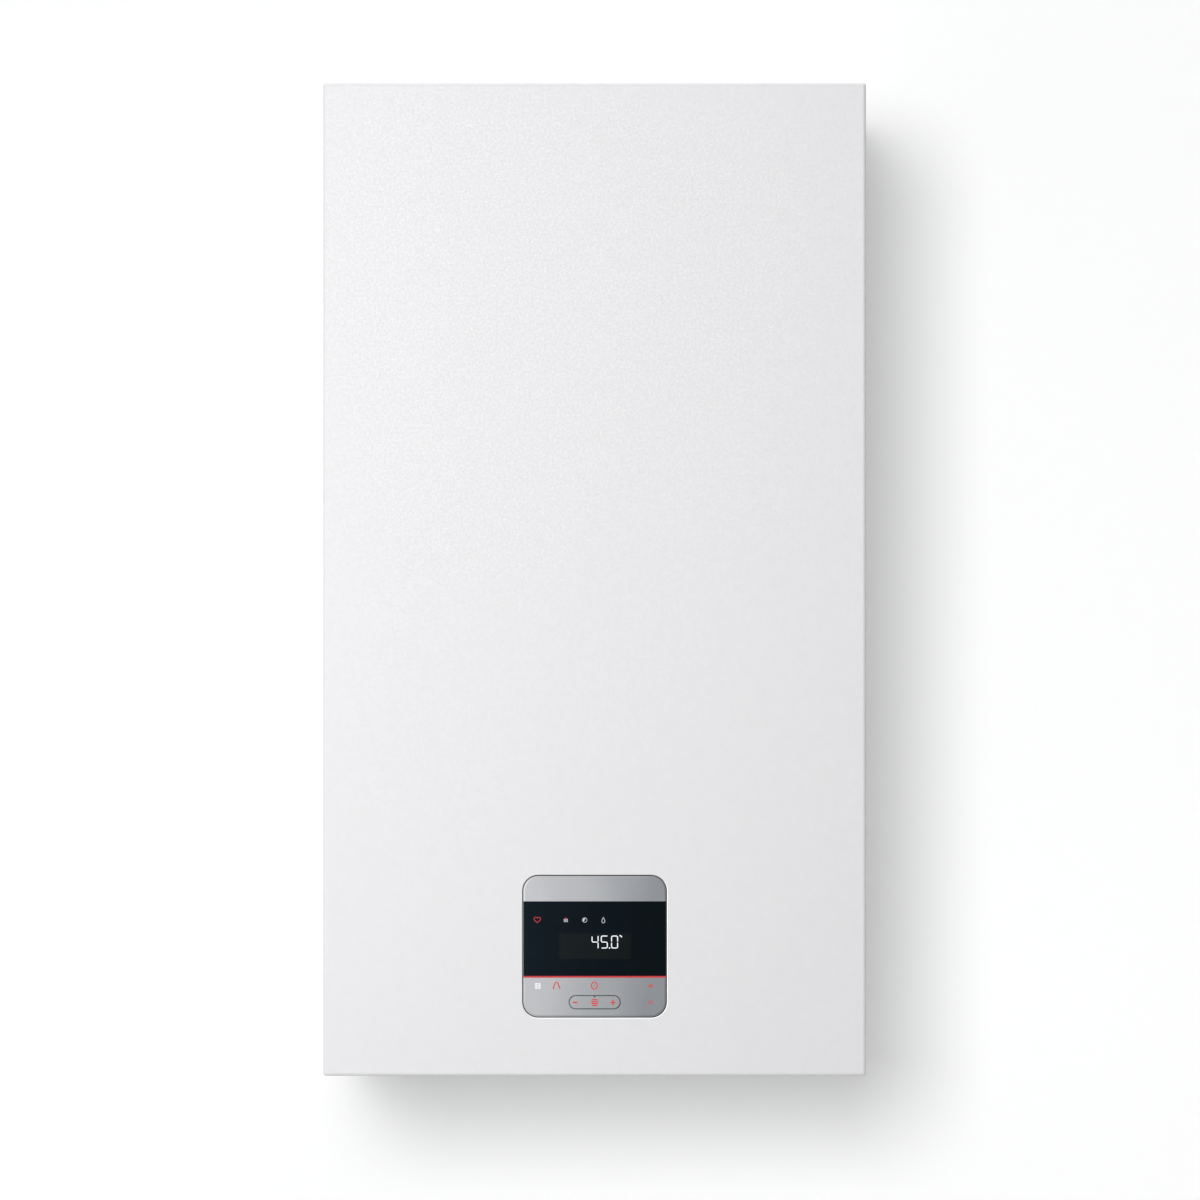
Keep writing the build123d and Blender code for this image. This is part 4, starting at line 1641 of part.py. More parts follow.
with BuildPart() as fascia:
    with BuildSketch(facing(FASCIA_BACK)):
        with Locations((0, FASCIA_Z)):
            RectangleRounded(FASCIA_WIDTH, FASCIA_HEIGHT, FASCIA_CORNER)
    extrude(amount=FASCIA_THICKNESS)
    fascia_face = fascia.faces().sort_by(Axis.Y)[0]
    chamfer(fascia_face.edges(), length=BEVEL_WIDTH, length2=BEVEL_RISE, reference=fascia_face)
    # seats for the lens and the accent strip
    block(
        mirrored(FASCIA_WIDTH),
        (FASCIA_FRONT - INLAY, CASE_DEPTH + 1),
        (ACCENT_BOTTOM, LENS_TOP),
        mode=Mode.SUBTRACT,
    )
    block(
        mirrored(MODULE_HALF + HOLE_PLAY),
        (FASCIA_BACK, CASE_DEPTH),
        (LENS_BOTTOM + 5, LENS_TOP - 9),
        mode=Mode.SUBTRACT,
    )
    with BuildSketch(facing(FASCIA_BACK)):
        with Locations((0, KEY_Z)):
            SlotOverall(KEY_WIDTH + 2 * KEY_GAP, KEY_HEIGHT + 2 * KEY_GAP)
    extrude(amount=FASCIA_THICKNESS, mode=Mode.SUBTRACT)

with BuildPart() as display_lens:
    block(
        mirrored(FASCIA_WIDTH / 2 - 0.2), (FASCIA_FRONT - INLAY, FASCIA_FRONT - 0.1), (LENS_BOTTOM, LENS_TOP)
    )

with BuildPart() as accent_line:
    block(
        mirrored(FASCIA_WIDTH / 2 - 0.2), (FASCIA_FRONT - INLAY, FASCIA_FRONT), (ACCENT_BOTTOM, LENS_BOTTOM)
    )

with BuildPart() as rocker_key:
    key_front = FASCIA_FRONT + KEY_PROUD
    flange_front = FASCIA_BACK - KEY_SWING
    with BuildSketch(facing(flange_front)):
        with Locations((0, KEY_Z)):
            SlotOverall(KEY_WIDTH, KEY_HEIGHT)
    extrude(amount=key_front - flange_front)
    chamfer(rocker_key.faces().sort_by(Axis.Y)[0].edges(), 0.4)
    with BuildSketch(facing(flange_front - KEY_FLANGE)):
        with Locations((0, KEY_Z)):
            SlotOverall(KEY_WIDTH + 2 * KEY_LIP, KEY_HEIGHT + 2 * KEY_LIP)
    extrude(amount=KEY_FLANGE)
    # the round ridge it rocks on, and the web that carries it
    bar(
        spot(0, KEY_PIVOT_DEPTH, KEY_Z - KEY_HEIGHT / 2),
        spot(0, KEY_PIVOT_DEPTH, KEY_Z + KEY_HEIGHT / 2),
        KEY_RIDGE,
    )
    block(
        mirrored(KEY_RIDGE),
        (KEY_PIVOT_DEPTH, flange_front),
        (KEY_Z - KEY_HEIGHT / 2, KEY_Z + KEY_HEIGHT / 2),
    )

# ---------------------------------------------------------------- output

PIECES = {
    "front_panel": front_panel,
    "front_liner": front_liner,
    "side_panel_left": side_panel_left,
    "side_panel_right": side_panel_right,
    "stud_bushes": stud_bushes,
    "chamber_seal": chamber_seal,
    "top_panel": top_panel,
    "back_plate": back_plate,
    "wall_bracket": wall_bracket,
    "base_plate": base_plate,
    "middle_frame": middle_frame,
    "chamber_floor": chamber_floor,
    "casing_screws": casing_screws,
    "store_tanks": store_tanks,
    "store_insulation": store_insulation,
    "exchanger_shell": exchanger_shell,
    "exchanger_coil": exchanger_coil,
    "burner_tube": burner_tube,
    "burner_door": burner_door,
    "door_insulation": door_insulation,
    "door_nuts": door_nuts,
    "ignition_electrode": ignition_electrode,
    "fan_housing": fan_housing,
    "fan_motor": fan_motor,
    "fan_impeller": fan_impeller,
    "venturi": venturi,
    "air_silencer": air_silencer,
    "gas_valve": gas_valve,
    "gas_pipe": gas_pipe,
    "flue_pipe": flue_pipe,
    "flue_collar": flue_collar,
    "expansion_vessel": expansion_vessel,
    "vessel_hose": vessel_hose,
    "plate_exchanger": plate_exchanger,
    "flow_block": flow_block,
    "flow_pipe": flow_pipe,
    "diverter_motor": diverter_motor,
    "diverter_spindle": diverter_spindle,
    "return_block": return_block,
    "return_pipe": return_pipe,
    "pump_housing": pump_housing,
    "pump_motor": pump_motor,
    "pump_rotor": pump_rotor,
    "charge_pump": charge_pump,
    "hot_pipe": hot_pipe,
    "cold_pipe": cold_pipe,
    "relief_knob": relief_knob,
    "drain_knob": drain_knob,
    "fill_knob": fill_knob,
    "condensate_trap": condensate_trap,
    "condensate_hose": condensate_hose,
    "cable_gland": cable_gland,
    "control_housing": control_housing,
    "control_cover": control_cover,
    "main_board": main_board,
    "display_board": display_board,
    "fascia": fascia,
    "display_lens": display_lens,
    "accent_line": accent_line,
    "rocker_key": rocker_key,
}

os.makedirs("parts", exist_ok=True)
for name, piece in PIECES.items():
    piece.part.label = name
    export_step(piece.part, f"parts/{name}.step")
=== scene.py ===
"""Looks of the wall-hung combi boiler: finishes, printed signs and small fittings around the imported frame."""

import json
import math

import bmesh
import bpy
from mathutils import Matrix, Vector

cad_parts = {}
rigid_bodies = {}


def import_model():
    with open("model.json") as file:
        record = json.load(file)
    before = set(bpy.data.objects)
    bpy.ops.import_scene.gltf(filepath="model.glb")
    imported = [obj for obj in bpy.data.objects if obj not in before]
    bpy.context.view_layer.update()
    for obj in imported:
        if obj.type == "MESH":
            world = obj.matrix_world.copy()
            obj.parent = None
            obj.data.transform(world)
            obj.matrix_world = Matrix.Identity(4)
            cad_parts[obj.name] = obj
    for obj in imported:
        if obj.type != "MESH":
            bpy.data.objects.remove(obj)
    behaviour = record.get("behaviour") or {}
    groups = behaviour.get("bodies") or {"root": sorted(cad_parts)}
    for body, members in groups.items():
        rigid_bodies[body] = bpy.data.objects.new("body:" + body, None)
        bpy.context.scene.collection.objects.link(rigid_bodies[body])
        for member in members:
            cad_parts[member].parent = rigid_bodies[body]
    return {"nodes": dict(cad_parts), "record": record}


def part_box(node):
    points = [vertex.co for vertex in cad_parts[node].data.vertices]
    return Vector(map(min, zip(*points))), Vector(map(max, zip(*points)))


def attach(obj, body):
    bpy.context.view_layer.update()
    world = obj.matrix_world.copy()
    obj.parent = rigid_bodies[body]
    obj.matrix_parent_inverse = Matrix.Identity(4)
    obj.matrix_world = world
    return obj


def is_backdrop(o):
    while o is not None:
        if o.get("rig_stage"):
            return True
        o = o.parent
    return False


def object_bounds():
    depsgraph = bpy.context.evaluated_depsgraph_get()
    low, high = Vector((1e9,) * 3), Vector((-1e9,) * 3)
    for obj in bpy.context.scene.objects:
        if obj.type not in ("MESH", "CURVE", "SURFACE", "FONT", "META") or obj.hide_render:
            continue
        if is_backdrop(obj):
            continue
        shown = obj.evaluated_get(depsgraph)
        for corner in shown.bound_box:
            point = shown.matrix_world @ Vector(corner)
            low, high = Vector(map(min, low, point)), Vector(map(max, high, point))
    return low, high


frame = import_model()
cad_low, cad_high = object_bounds()
scene = bpy.context.scene

MM = 0.001
TAU = 2 * math.pi

fascia_low, fascia_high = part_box("fascia")
lens_low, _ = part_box("display_lens")
key_low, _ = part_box("rocker_key")


# ---------------------------------------------------------------- finishes


class Look:
    """A procedural finish. Its texture space is the object's own, in metres."""

    def __init__(self, name, colour, roughness, metallic=0.0):
        self.material = bpy.data.materials.new(name)
        self.material.use_nodes = True
        self.nodes = self.material.node_tree.nodes
        self.links = self.material.node_tree.links
        self.shader = self.nodes["Principled BSDF"]
        self.set(Base_Color=(*colour, 1), Roughness=roughness, Metallic=metallic)
        places = self.nodes.new("ShaderNodeTexCoord")
        self.space, self.facing = places.outputs["Object"], places.outputs["Normal"]
        self.normal = None

    def set(self, **values):
        for name, value in values.items():
            self.shader.inputs[name.replace("_", " ")].default_value = value
        return self

    def join(self, source, node, name):
        self.links.new(source, node.inputs[name])

    def stretched(self, stretch):
        """The texture space with each axis scaled."""
        node = self.nodes.new("ShaderNodeMapping")
        node.inputs["Scale"].default_value = stretch
        self.join(self.space, node, "Vector")
        return node.outputs["Vector"]

    def noise(self, size, detail=3.0, stretch=None):
        """Noise with features about this many millimetres across."""
        node = self.nodes.new("ShaderNodeTexNoise")
        node.inputs["Scale"].default_value = 1 / (size * MM)
        node.inputs["Detail"].default_value = detail
        self.join(self.stretched(stretch) if stretch else self.space, node, "Vector")
        return node.outputs["Fac"]

    def cells(self, size, output="Distance", feature="F1"):
        """Cells about this many millimetres across."""
        node = self.nodes.new("ShaderNodeTexVoronoi")
        node.feature = feature
        node.inputs["Scale"].default_value = 1 / (size * MM)
        self.join(self.space, node, "Vector")
        return node.outputs[output]

    def axis(self, index, vector=None):
        """One coordinate of the texture space, in metres, or of another vector."""
        node = self.nodes.new("ShaderNodeSeparateXYZ")
        self.join(vector or self.space, node, "Vector")
        return node.outputs[index]

    def distance_to(self, place):
        """How far each point of the surface is from a place, in metres."""
        node = self.nodes.new("ShaderNodeVectorMath")
        node.operation = "DISTANCE"
        self.join(self.space, node, 0)
        node.inputs[1].default_value = place
        return node.outputs["Value"]

    def sum_of(self, a, b, factor=1.0):
        """a + b * factor."""
        node = self.nodes.new("ShaderNodeMath")
        node.operation = "MULTIPLY_ADD"
        self.join(b, node, 0)
        node.inputs[1].default_value = factor
        self.join(a, node, 2)
        return node.outputs[0]

    def spread(self, value, low, high, start=0.3, end=0.7):
        """Maps start..end to low..high."""
        node = self.nodes.new("ShaderNodeMapRange")
        node.inputs["From Min"].default_value = start
        node.inputs["From Max"].default_value = end
        node.inputs["To Min"].default_value = low
        node.inputs["To Max"].default_value = high
        self.join(value, node, "Value")
        return node.outputs["Result"]

    def colours(self, value, stops):
        """Base colour from a value through (place, colour) stops."""
        node = self.nodes.new("ShaderNodeValToRGB")
        elements = node.color_ramp.elements
        while len(elements) < len(stops):
            elements.new(0.5)
        for element, (place, colour) in zip(elements, stops):
            element.position = place
            element.color = (*colour, 1)
        self.join(value, node, "Fac")
        self.join(node.outputs["Color"], self.shader, "Base Color")
        return self

    def drifting(self, value, colour, vary):
        """Base colour from a little darker to a little lighter than this one."""
        return self.colours(value, [(0.3, shade(colour, 1 - vary)), (0.7, shade(colour, 1 + vary))])

    def rough(self, value, low, high, start=0.3, end=0.7):
        self.join(self.spread(value, low, high, start, end), self.shader, "Roughness")
        return self

    def relief(self, height, depth):
        """Adds bump of this many millimetres on top of earlier relief."""
        node = self.nodes.new("ShaderNodeBump")
        node.inputs["Distance"].default_value = depth * MM
        node.inputs["Strength"].default_value = 1.0
        self.join(height, node, "Height")
        if self.normal:
            self.join(self.normal, node, "Normal")
        self.normal = node.outputs["Normal"]
        self.join(self.normal, self.shader, "Normal")
        return self


def shade(colour, factor):
    return tuple(min(1.0, channel * factor) for channel in colour)


GLOSS_DRIFT = 0.08  # how far a patchy finish's roughness strays either way


def patchy(name, colour, roughness, metallic=0.0, patch=40.0, vary=0.08, grain=1.0, depth=0.05):
    """A finish whose colour drifts over patches and whose grain breaks up the gloss."""
    look = Look(name, colour, roughness, metallic)
    look.drifting(look.noise(patch), colour, vary)
    fine = look.noise(grain, 5.0)
    look.rough(fine, roughness - GLOSS_DRIFT, roughness + GLOSS_DRIFT)
    return look.relief(fine, depth)


def moulded(name, colour, roughness=0.5):
    """Moulded plastic with a fine spark-eroded texture and faint flow marks."""
    look = patchy(name, colour, roughness, patch=30.0, vary=0.06, grain=0.5, depth=0.04)
    return look.relief(look.cells(0.9), 0.03)


def drawn(name, colour, roughness, stretch, vary=0.1):
    """Bright metal with lines along one axis."""
    look = Look(name, colour, roughness, 1.0)
    lines = look.noise(0.6, 4.0, stretch)
    look.drifting(look.noise(55.0), colour, vary)
    look.rough(lines, roughness - 0.1, roughness + 0.12)
    return look.relief(lines, 0.02)


ENAMEL = (0.560, 0.558, 0.568)
RIM_HIGHLIGHT_REACH = (0.095, 0.1)  # metres from the display's middle over which the painted highlight on the rolled edge ends
MOTTLE = 0.06  # share of the tone scale that the mottle takes
BEND_HIGHLIGHT_GAIN = 0.2  # how far the painted highlight lifts a bend on that scale


def enamel(name):
    """White powder coat: orange peel over a very faint mottle, with a painted highlight on the bends and on the
    rolled edge round the display.
    """
    look = Look(name, ENAMEL, 0.42)
    # painted highlight: near the display, the rolled edge is made pale where it faces up or to the left
    tilt = look.sum_of(look.axis(2, look.facing), look.axis(0, look.facing), -1.0)
    beyond = look.spread(look.distance_to((fascia_low + fascia_high) / 2), 0.0, 1.0, *RIM_HIGHLIGHT_REACH)
    rim_highlight = look.spread(look.sum_of(tilt, beyond, -3.0), 0.0, 1.0, 0.04, 0.2)
    # painted highlight on the bends: a bend is what no longer faces forward and doesn't yet face sideways
    forward = look.axis(1, look.facing)
    not_forward = look.spread(forward, 0.0, 1.0, -0.999, -0.94)
    sideways = look.spread(forward, 0.0, 1.0, -0.35, -0.1)
    bent = look.sum_of(not_forward, sideways, -1.0)
    mottle = look.spread(look.noise(9.0, 5.0), 0.0, MOTTLE, 0.25, 0.75)
    mottle_and_highlights = look.sum_of(look.sum_of(mottle, bent, BEND_HIGHLIGHT_GAIN), rim_highlight)
    # the stops above MOTTLE give the painted highlights their pale colour
    look.colours(
        mottle_and_highlights,
        [
            (0.0, shade(ENAMEL, 0.985)),
            (MOTTLE, shade(ENAMEL, 1.01)),
            (0.5, shade(ENAMEL, 1.35)),
            (1.0, (1.0, 1.0, 1.0)),
        ],
    )
    look.rough(look.noise(2.2), 0.38, 0.48)
    look.relief(look.noise(2.6, 2.0), 0.007)
    return look.relief(look.noise(0.7, 2.0), 0.003)


def galvanised(name):
    """Zinc spangle: angular crystals that differ in tone and gloss."""
    look = Look(name, (0.60, 0.62, 0.64), 0.42, 0.85)
    large = look.spread(look.axis(0, look.cells(8.0, "Color")), 0.0, 0.6, 0.0, 1.0)
    small = look.axis(1, look.cells(3.0, "Color"))
    crystals = look.sum_of(large, small, 0.25)
    crystals = look.sum_of(crystals, look.noise(45.0, 2.0), 0.3)
    look.colours(crystals, [(0.1, (0.52, 0.54, 0.56)), (0.95, (0.68, 0.70, 0.72))])
    look.rough(crystals, 0.36, 0.48, 0.1, 0.95)
    return look.relief(look.noise(1.4, 4.0), 0.02)


def cast(name, colour, roughness, metallic=1.0):
    """Sand-cast skin."""
    look = patchy(name, colour, roughness, metallic, patch=45.0, vary=0.1, grain=1.6, depth=0.22)
    return look.relief(look.cells(2.4), 0.08)


def copper(name):
    """Drawn copper, dulled brown in places."""
    look = Look(name, (0.80, 0.42, 0.28), 0.3, 1.0)
    stain = look.noise(26.0, 6.0)
    look.colours(stain, [(0.32, (0.60, 0.29, 0.19)), (0.5, (0.78, 0.41, 0.28)), (0.68, (0.86, 0.50, 0.36))])
    look.rough(stain, 0.40, 0.26)
    return look.relief(look.noise(0.8, 4.0), 0.02)


def bead_foam(name, colour):
    """Expanded bead foam: round beads with fine dark joints."""
    look = Look(name, colour, 0.85)
    beads = look.cells(3.4)
    look.colours(beads, [(0.0, colour), (0.55, shade(colour, 0.93)), (0.8, shade(colour, 0.78))])
    look.relief(beads, -0.5)
    return look.relief(look.noise(0.6, 3.0), 0.08)


def fibre_board(name):
    """Pressed ceramic fibre."""
    look = patchy(name, (0.86, 0.83, 0.76), 0.92, patch=18.0, vary=0.05, grain=0.8, depth=0.3)
    return look.relief(look.noise(1.2, 3.0, (1, 1, 6)), 0.2)


def circuit_board(name):
    """Green solder resist over faint raised tracks."""
    look = Look(name, (0.02, 0.16, 0.08), 0.32)
    tracks = look.cells(3.2, "Distance", "DISTANCE_TO_EDGE")
    look.colours(tracks, [(0.0, (0.05, 0.30, 0.16)), (0.10, (0.05, 0.28, 0.15)), (0.14, (0.015, 0.12, 0.06))])
    return look.relief(tracks, 0.05)


def satin_silver(name):
    """Satin silver lacquer with a painted sheen from side to side, lighter at the left, painted shade towards
    the bottom and a painted highlight on the bevel.
    """
    look = Look(name, (0.5, 0.5, 0.52), 0.62, 0.75)
    # painted sheen: lighter at the left, darker to the right
    across = look.spread(look.axis(0), 0.0, 0.83, -0.063, 0.063)
    painted_light_and_tone = look.sum_of(across, look.noise(30.0, 1.0, (1.0, 1.0, 0.4)), 0.34)
    # painted shade: darker towards the bottom
    painted_light_and_tone = look.sum_of(painted_light_and_tone, look.spread(look.axis(2), 1.0, 0.0, -0.745, -0.65), 0.09)
    # painted highlight on the bevel
    bevel_highlight = look.spread(look.axis(1, look.facing), 0.0, 1.0, -0.995, -0.975)
    painted_light_and_tone = look.sum_of(painted_light_and_tone, bevel_highlight, -0.16)
    look.colours(
        painted_light_and_tone,
        [
            (0.0, (0.500, 0.500, 0.512)),
            (0.12, (0.402, 0.402, 0.414)),
            (0.40, (0.335, 0.340, 0.350)),
            (0.62, (0.284, 0.293, 0.305)),
            (0.84, (0.224, 0.232, 0.244)),
            (1.0, (0.190, 0.199, 0.212)),
        ],
    )
    grain = look.noise(0.25, 3.0, (1.0, 1.0, 14.0))
    look.rough(grain, 0.56, 0.70)
    return look.relief(grain, 0.006)


def glossy(look):
    """The smooth face that the window and the field under it share."""
    look.rough(look.noise(14.0, 4.0), 0.035, 0.06)
    return look.set(Specular_IOR_Level=0.16)


def display_glass(name):
    """Smoked window with a painted sheen: dark blue at the left and nearly black at the right."""
    look = Look(name, (0.004, 0.007, 0.010), 0.05)
    # painted sheen: lighter at the left, darker to the right
    across = look.spread(look.axis(0), 0.0, 1.0, -0.062, 0.062)
    sheen_and_drift = look.sum_of(across, look.noise(38.0, 2.0), 0.25)
    look.colours(
        sheen_and_drift,
        [
            (0.1, (0.0040, 0.0090, 0.0130)),
            (0.6, (0.0022, 0.0052, 0.0082)),
            (1.0, (0.0014, 0.0040, 0.0058)),
        ],
    )
    return glossy(look)


def red_strip(name):
    """Red lacquer that glows very faintly."""
    look = Look(name, (0.43, 0.004, 0.006), 0.4)
    look.rough(look.noise(3.0), 0.36, 0.46)
    return look.set(Specular_IOR_Level=0.2, Emission_Color=(0.8, 0.01, 0.016, 1), Emission_Strength=0.03)


LOOKS = {
    "white_enamel": enamel,
    "galvanised": galvanised,
    "zinc_parts": lambda name: drawn(name, (0.68, 0.68, 0.66), 0.35, (1, 1, 8)),
    "stainless": lambda name: drawn(name, (0.62, 0.60, 0.57), 0.34, (1, 1, 10)),
    "cast_aluminium": lambda name: cast(name, (0.60, 0.61, 0.62), 0.55),
    "copper": copper,
    "brass": lambda name: patchy(name, (0.78, 0.58, 0.26), 0.32, 1.0, patch=22.0, vary=0.14, grain=0.8),
    "steel_pipe": lambda name: drawn(name, (0.58, 0.58, 0.55), 0.36, (1, 1, 6)),
    "gas_valve_cast": lambda name: cast(name, (0.52, 0.53, 0.54), 0.48),
    "cast_iron": lambda name: cast(name, (0.035, 0.037, 0.04), 0.42, 0.2),
    "motor_black": lambda name: patchy(name, (0.022, 0.022, 0.024), 0.42, patch=30.0, vary=0.2, grain=0.9),
    "vessel_red": lambda name: patchy(name, (0.48, 0.022, 0.016), 0.34, patch=60.0, grain=1.8, depth=0.03),
    "foam_white": lambda name: bead_foam(name, (0.86, 0.86, 0.84)),
    "foam_grey": lambda name: bead_foam(name, (0.10, 0.10, 0.105)),
    "ceramic_fibre": fibre_board,
    "electrode": lambda name: patchy(
        name, (0.88, 0.87, 0.83), 0.22, patch=8.0, vary=0.03, grain=1.5, depth=0.01
    ),
    "flue_plastic": lambda name: moulded(name, (0.74, 0.745, 0.73), 0.45),
    "grey_plastic": lambda name: moulded(name, (0.10, 0.105, 0.112)),
    "box_plastic": lambda name: moulded(name, (0.045, 0.047, 0.05), 0.52),
    "black_plastic": lambda name: moulded(name, (0.016, 0.016, 0.018), 0.45),
    "blue_plastic": lambda name: moulded(name, (0.012, 0.07, 0.30), 0.4),
    "red_plastic": lambda name: moulded(name, (0.50, 0.012, 0.012), 0.4),
    "impeller_plastic": lambda name: moulded(name, (0.03, 0.03, 0.033), 0.42),
    "rubber": lambda name: patchy(name, (0.035, 0.035, 0.038), 0.66, patch=25.0, vary=0.15, grain=0.7),
    "circuit_board": circuit_board,
    "fascia_silver": satin_silver,
    "key_silver": satin_silver,
    "display_black": display_glass,
    "accent_red": red_strip,
}

finishes = {}


def finish_for(slot):
    """The material of a slot, made when it is first asked for."""
    if slot not in finishes:
        finishes[slot] = LOOKS[slot](slot).material
    return finishes[slot]


slot_of = {piece["node"]: piece["material_slot"] for piece in frame["record"]["subparts"]}
for name, node in frame["nodes"].items():
    node.data.materials.clear()
    node.data.materials.append(finish_for(slot_of[name]))


# ---------------------------------------------------------------- printed signs


def lit(name, colour, strength):
    """Ink or a lit segment: a matt colour with a faint grain, glowing a little."""
    look = Look(name, colour, 0.5)
    look.rough(look.noise(0.4), 0.42, 0.6)
    look.set(Specular_IOR_Level=0.15, Emission_Color=(*colour, 1), Emission_Strength=strength)
    return look.material


def display_patch():
    """The liquid-crystal field under the window: as glossy as the window, a little greyer and lighter, with a
    painted sheen that is lighter at the left.
    """
    look = Look("liquid_crystal", (0.0065, 0.0095, 0.0105), 0.05)
    # painted sheen: lighter at the left, darker to the right
    across = look.spread(look.axis(0), 0.0, 1.0, -0.031, 0.031)
    look.colours(across, [(0.0, (0.0074, 0.0108, 0.0118)), (1.0, (0.0046, 0.0070, 0.0078))])
    return glossy(look).material


SIGN_WHITE = lit("sign_white", (0.47, 0.48, 0.49), 0.92)
SIGN_SOFT = lit("sign_soft_white", (0.30, 0.31, 0.325), 0.60)
SIGN_RED = lit("sign_red", (0.33, 0.020, 0.024), 0.50)
INK_RED = lit("ink_red", (0.53, 0.030, 0.024), 0.07)
INK_WHITE = lit("ink_white", (0.70, 0.71, 0.73), 0.05)
GLASS_PATCH = display_patch()
# painted shade: the dark inside of the key's notch
NOTCH_SHADE = lit("notch_painted_shade", (0.03, 0.03, 0.032), 0.0)


def new_piece(name, mesh_data, material, body):
    """Makes a piece from a bmesh, and lets it ride."""
    mesh = bpy.data.meshes.new(name)
    mesh_data.to_mesh(mesh)
    mesh_data.free()
    mesh.materials.append(material)
    piece = bpy.data.objects.new(name, mesh)
    scene.collection.objects.link(piece)
    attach(piece, body)
    return piece


def raised(mesh, outline, back, front):
    """Adds a flat sign: its outline's (x, z) points in metres, raised from depth back to depth front."""
    near = [mesh.verts.new((x, -front, z)) for x, z in outline]
    far = [mesh.verts.new((x, -back, z)) for x, z in outline]
    mesh.faces.new(near)
    mesh.faces.new(far[::-1])
    for place in range(len(outline)):
        after = (place + 1) % len(outline)
        mesh.faces.new((near[after], near[place], far[place], far[after]))


def raised_band(mesh, points, width, closed, back, front):
    """Adds a line of even width along (x, z) points."""
    count = len(points)
    sides = []
    for place, point in enumerate(points):
        before = points[place - 1] if closed or place else point
        after = points[(place + 1) % count] if closed or place < count - 1 else point
        run = Vector(after) - Vector(before)
        across = Vector((-run.y, run.x)).normalized() * width / 2
        sides.append((Vector(point) + across, Vector(point) - across))
    for place in range(count if closed else count - 1):
        a, b = sides[place], sides[(place + 1) % count]
        raised(mesh, [a[0], b[0], b[1], a[1]], back, front)


def ring_points(centre, radius_x, radius_z, count=28, start=0.0, turn=TAU):
    return [
        (
            centre[0] + radius_x * math.cos(start + turn * k / count),
            centre[1] + radius_z * math.sin(start + turn * k / count),
        )
        for k in range(count)
    ]


LENS_DEPTH = -lens_low.y
FASCIA_DEPTH = -fascia_low.y
KEY_DEPTH = -key_low.y
CENTRE_X = (fascia_low.x + fascia_high.x) / 2
CENTRE_Z = (fascia_low.z + fascia_high.z) / 2
SINK = 0.02 * MM  # how far a sign's back lies inside the face that carries it
PRINT = 0.03 * MM  # how far its front stands out of that face
PATCH = 0.008 * MM  # the same for the liquid-crystal field, which lies under the figures


def at(x, z):
    """A place that is given in millimetres from the fascia's centre."""
    return (CENTRE_X + x * MM, CENTRE_Z + z * MM)


class Sign:
    """Several flat shapes on one surface, as one piece."""

    def __init__(self, name, depth, material, body, slot, thickness=PRINT):
        self.mesh = bmesh.new()
        self.name, self.material, self.body, self.slot = name, material, body, slot
        self.back, self.front = depth - SINK, depth + thickness

    def shape(self, points):
        raised(self.mesh, [at(*p) for p in points], self.back, self.front)
        return self

    def line(self, points, width, closed=False):
        raised_band(self.mesh, [at(*p) for p in points], width * MM, closed, self.back, self.front)
        return self

    def done(self):
        return new_piece(self.name, self.mesh, self.material, self.body)


def on_lens(name, material, thickness=PRINT):
    return Sign(name, LENS_DEPTH, material, "control_box", "display_black", thickness)


def on_fascia(name, material):
    return Sign(name, FASCIA_DEPTH, material, "control_box", "fascia_silver")


def on_key(name, material):
    return Sign(name, KEY_DEPTH, material, "rocker_key", "key_silver")


def rectangle(x, z, half_x, half_z):
    """A rectangle round its middle."""
    left, right = x - half_x, x + half_x
    low, high = z - half_z, z + half_z
    return [(left, low), (right, low), (right, high), (left, high)]


on_lens("display_field", GLASS_PATCH, PATCH).shape(rectangle(0.35, 0.2, 31.05, 10.9)).done()

# figures of joined bars with rounded corners, all in millimetres
FIGURE_LOW = -1.46
FIGURE_HIGH = 8.95
FIGURE_MIDDLE = 3.7
FIGURE_WIDTH = 5.25
FIGURE_BREAK = 0.5  # half the gap between the upper and the lower bars
FIGURE_ROUND = 1.5
FIGURES = (("4", -2.3), ("5", 5.7), ("0", 14.6))  # each with its left side
POINT_X = 12.8
POINT_RADIUS = 0.66
STROKE = 0.84


def rounded(points, radius, steps=5):
    """The points of an open line with its corners rounded."""
    path = [points[0]]
    for before, corner, after in zip(points, points[1:], points[2:]):
        corner = Vector(corner)
        start = corner + (Vector(before) - corner).normalized() * radius
        end = corner + (Vector(after) - corner).normalized() * radius
        for step in range(steps + 1):
            share = step / steps
            path.append((start.lerp(corner, share)).lerp(corner.lerp(end, share), share))
    return path + [points[-1]]


def figure_lines(figure, left):
    """The strokes of one figure, as lines through the middle of its bars."""
    right = left + FIGURE_WIDTH
    over, under = FIGURE_MIDDLE + FIGURE_BREAK, FIGURE_MIDDLE - FIGURE_BREAK
    if figure == "4":
        bent = [(left, FIGURE_HIGH - 0.5), (left, FIGURE_MIDDLE), (right - STROKE / 2, FIGURE_MIDDLE)]
        return [bent, [(right, FIGURE_HIGH), (right, over)], [(right, under), (right, FIGURE_LOW - 0.1)]]
    if figure == "5":
        line = [(right, FIGURE_HIGH), (left, FIGURE_HIGH), (left, FIGURE_MIDDLE), (right, FIGURE_MIDDLE)]
        return [line + [(right, FIGURE_LOW), (left + 0.3, FIGURE_LOW)]]
    upper = [(left, over), (left, FIGURE_HIGH), (right, FIGURE_HIGH), (right, over)]
    lower = [(left, under), (left, FIGURE_LOW), (right, FIGURE_LOW), (right, under)]
    return [upper, lower]


digits = on_lens("display_digits", SIGN_WHITE)
for figure, left in FIGURES:
    for line in figure_lines(figure, left):
        digits.line(rounded(line, FIGURE_ROUND), STROKE)
digits.shape(ring_points((POINT_X, FIGURE_LOW), POINT_RADIUS, POINT_RADIUS, 10))
digits.line([(21.5, 9.3), (22.3, 9.2), (23.0, 8.7), (23.5, 7.9)], 0.95)  # the degree mark
digits.done()


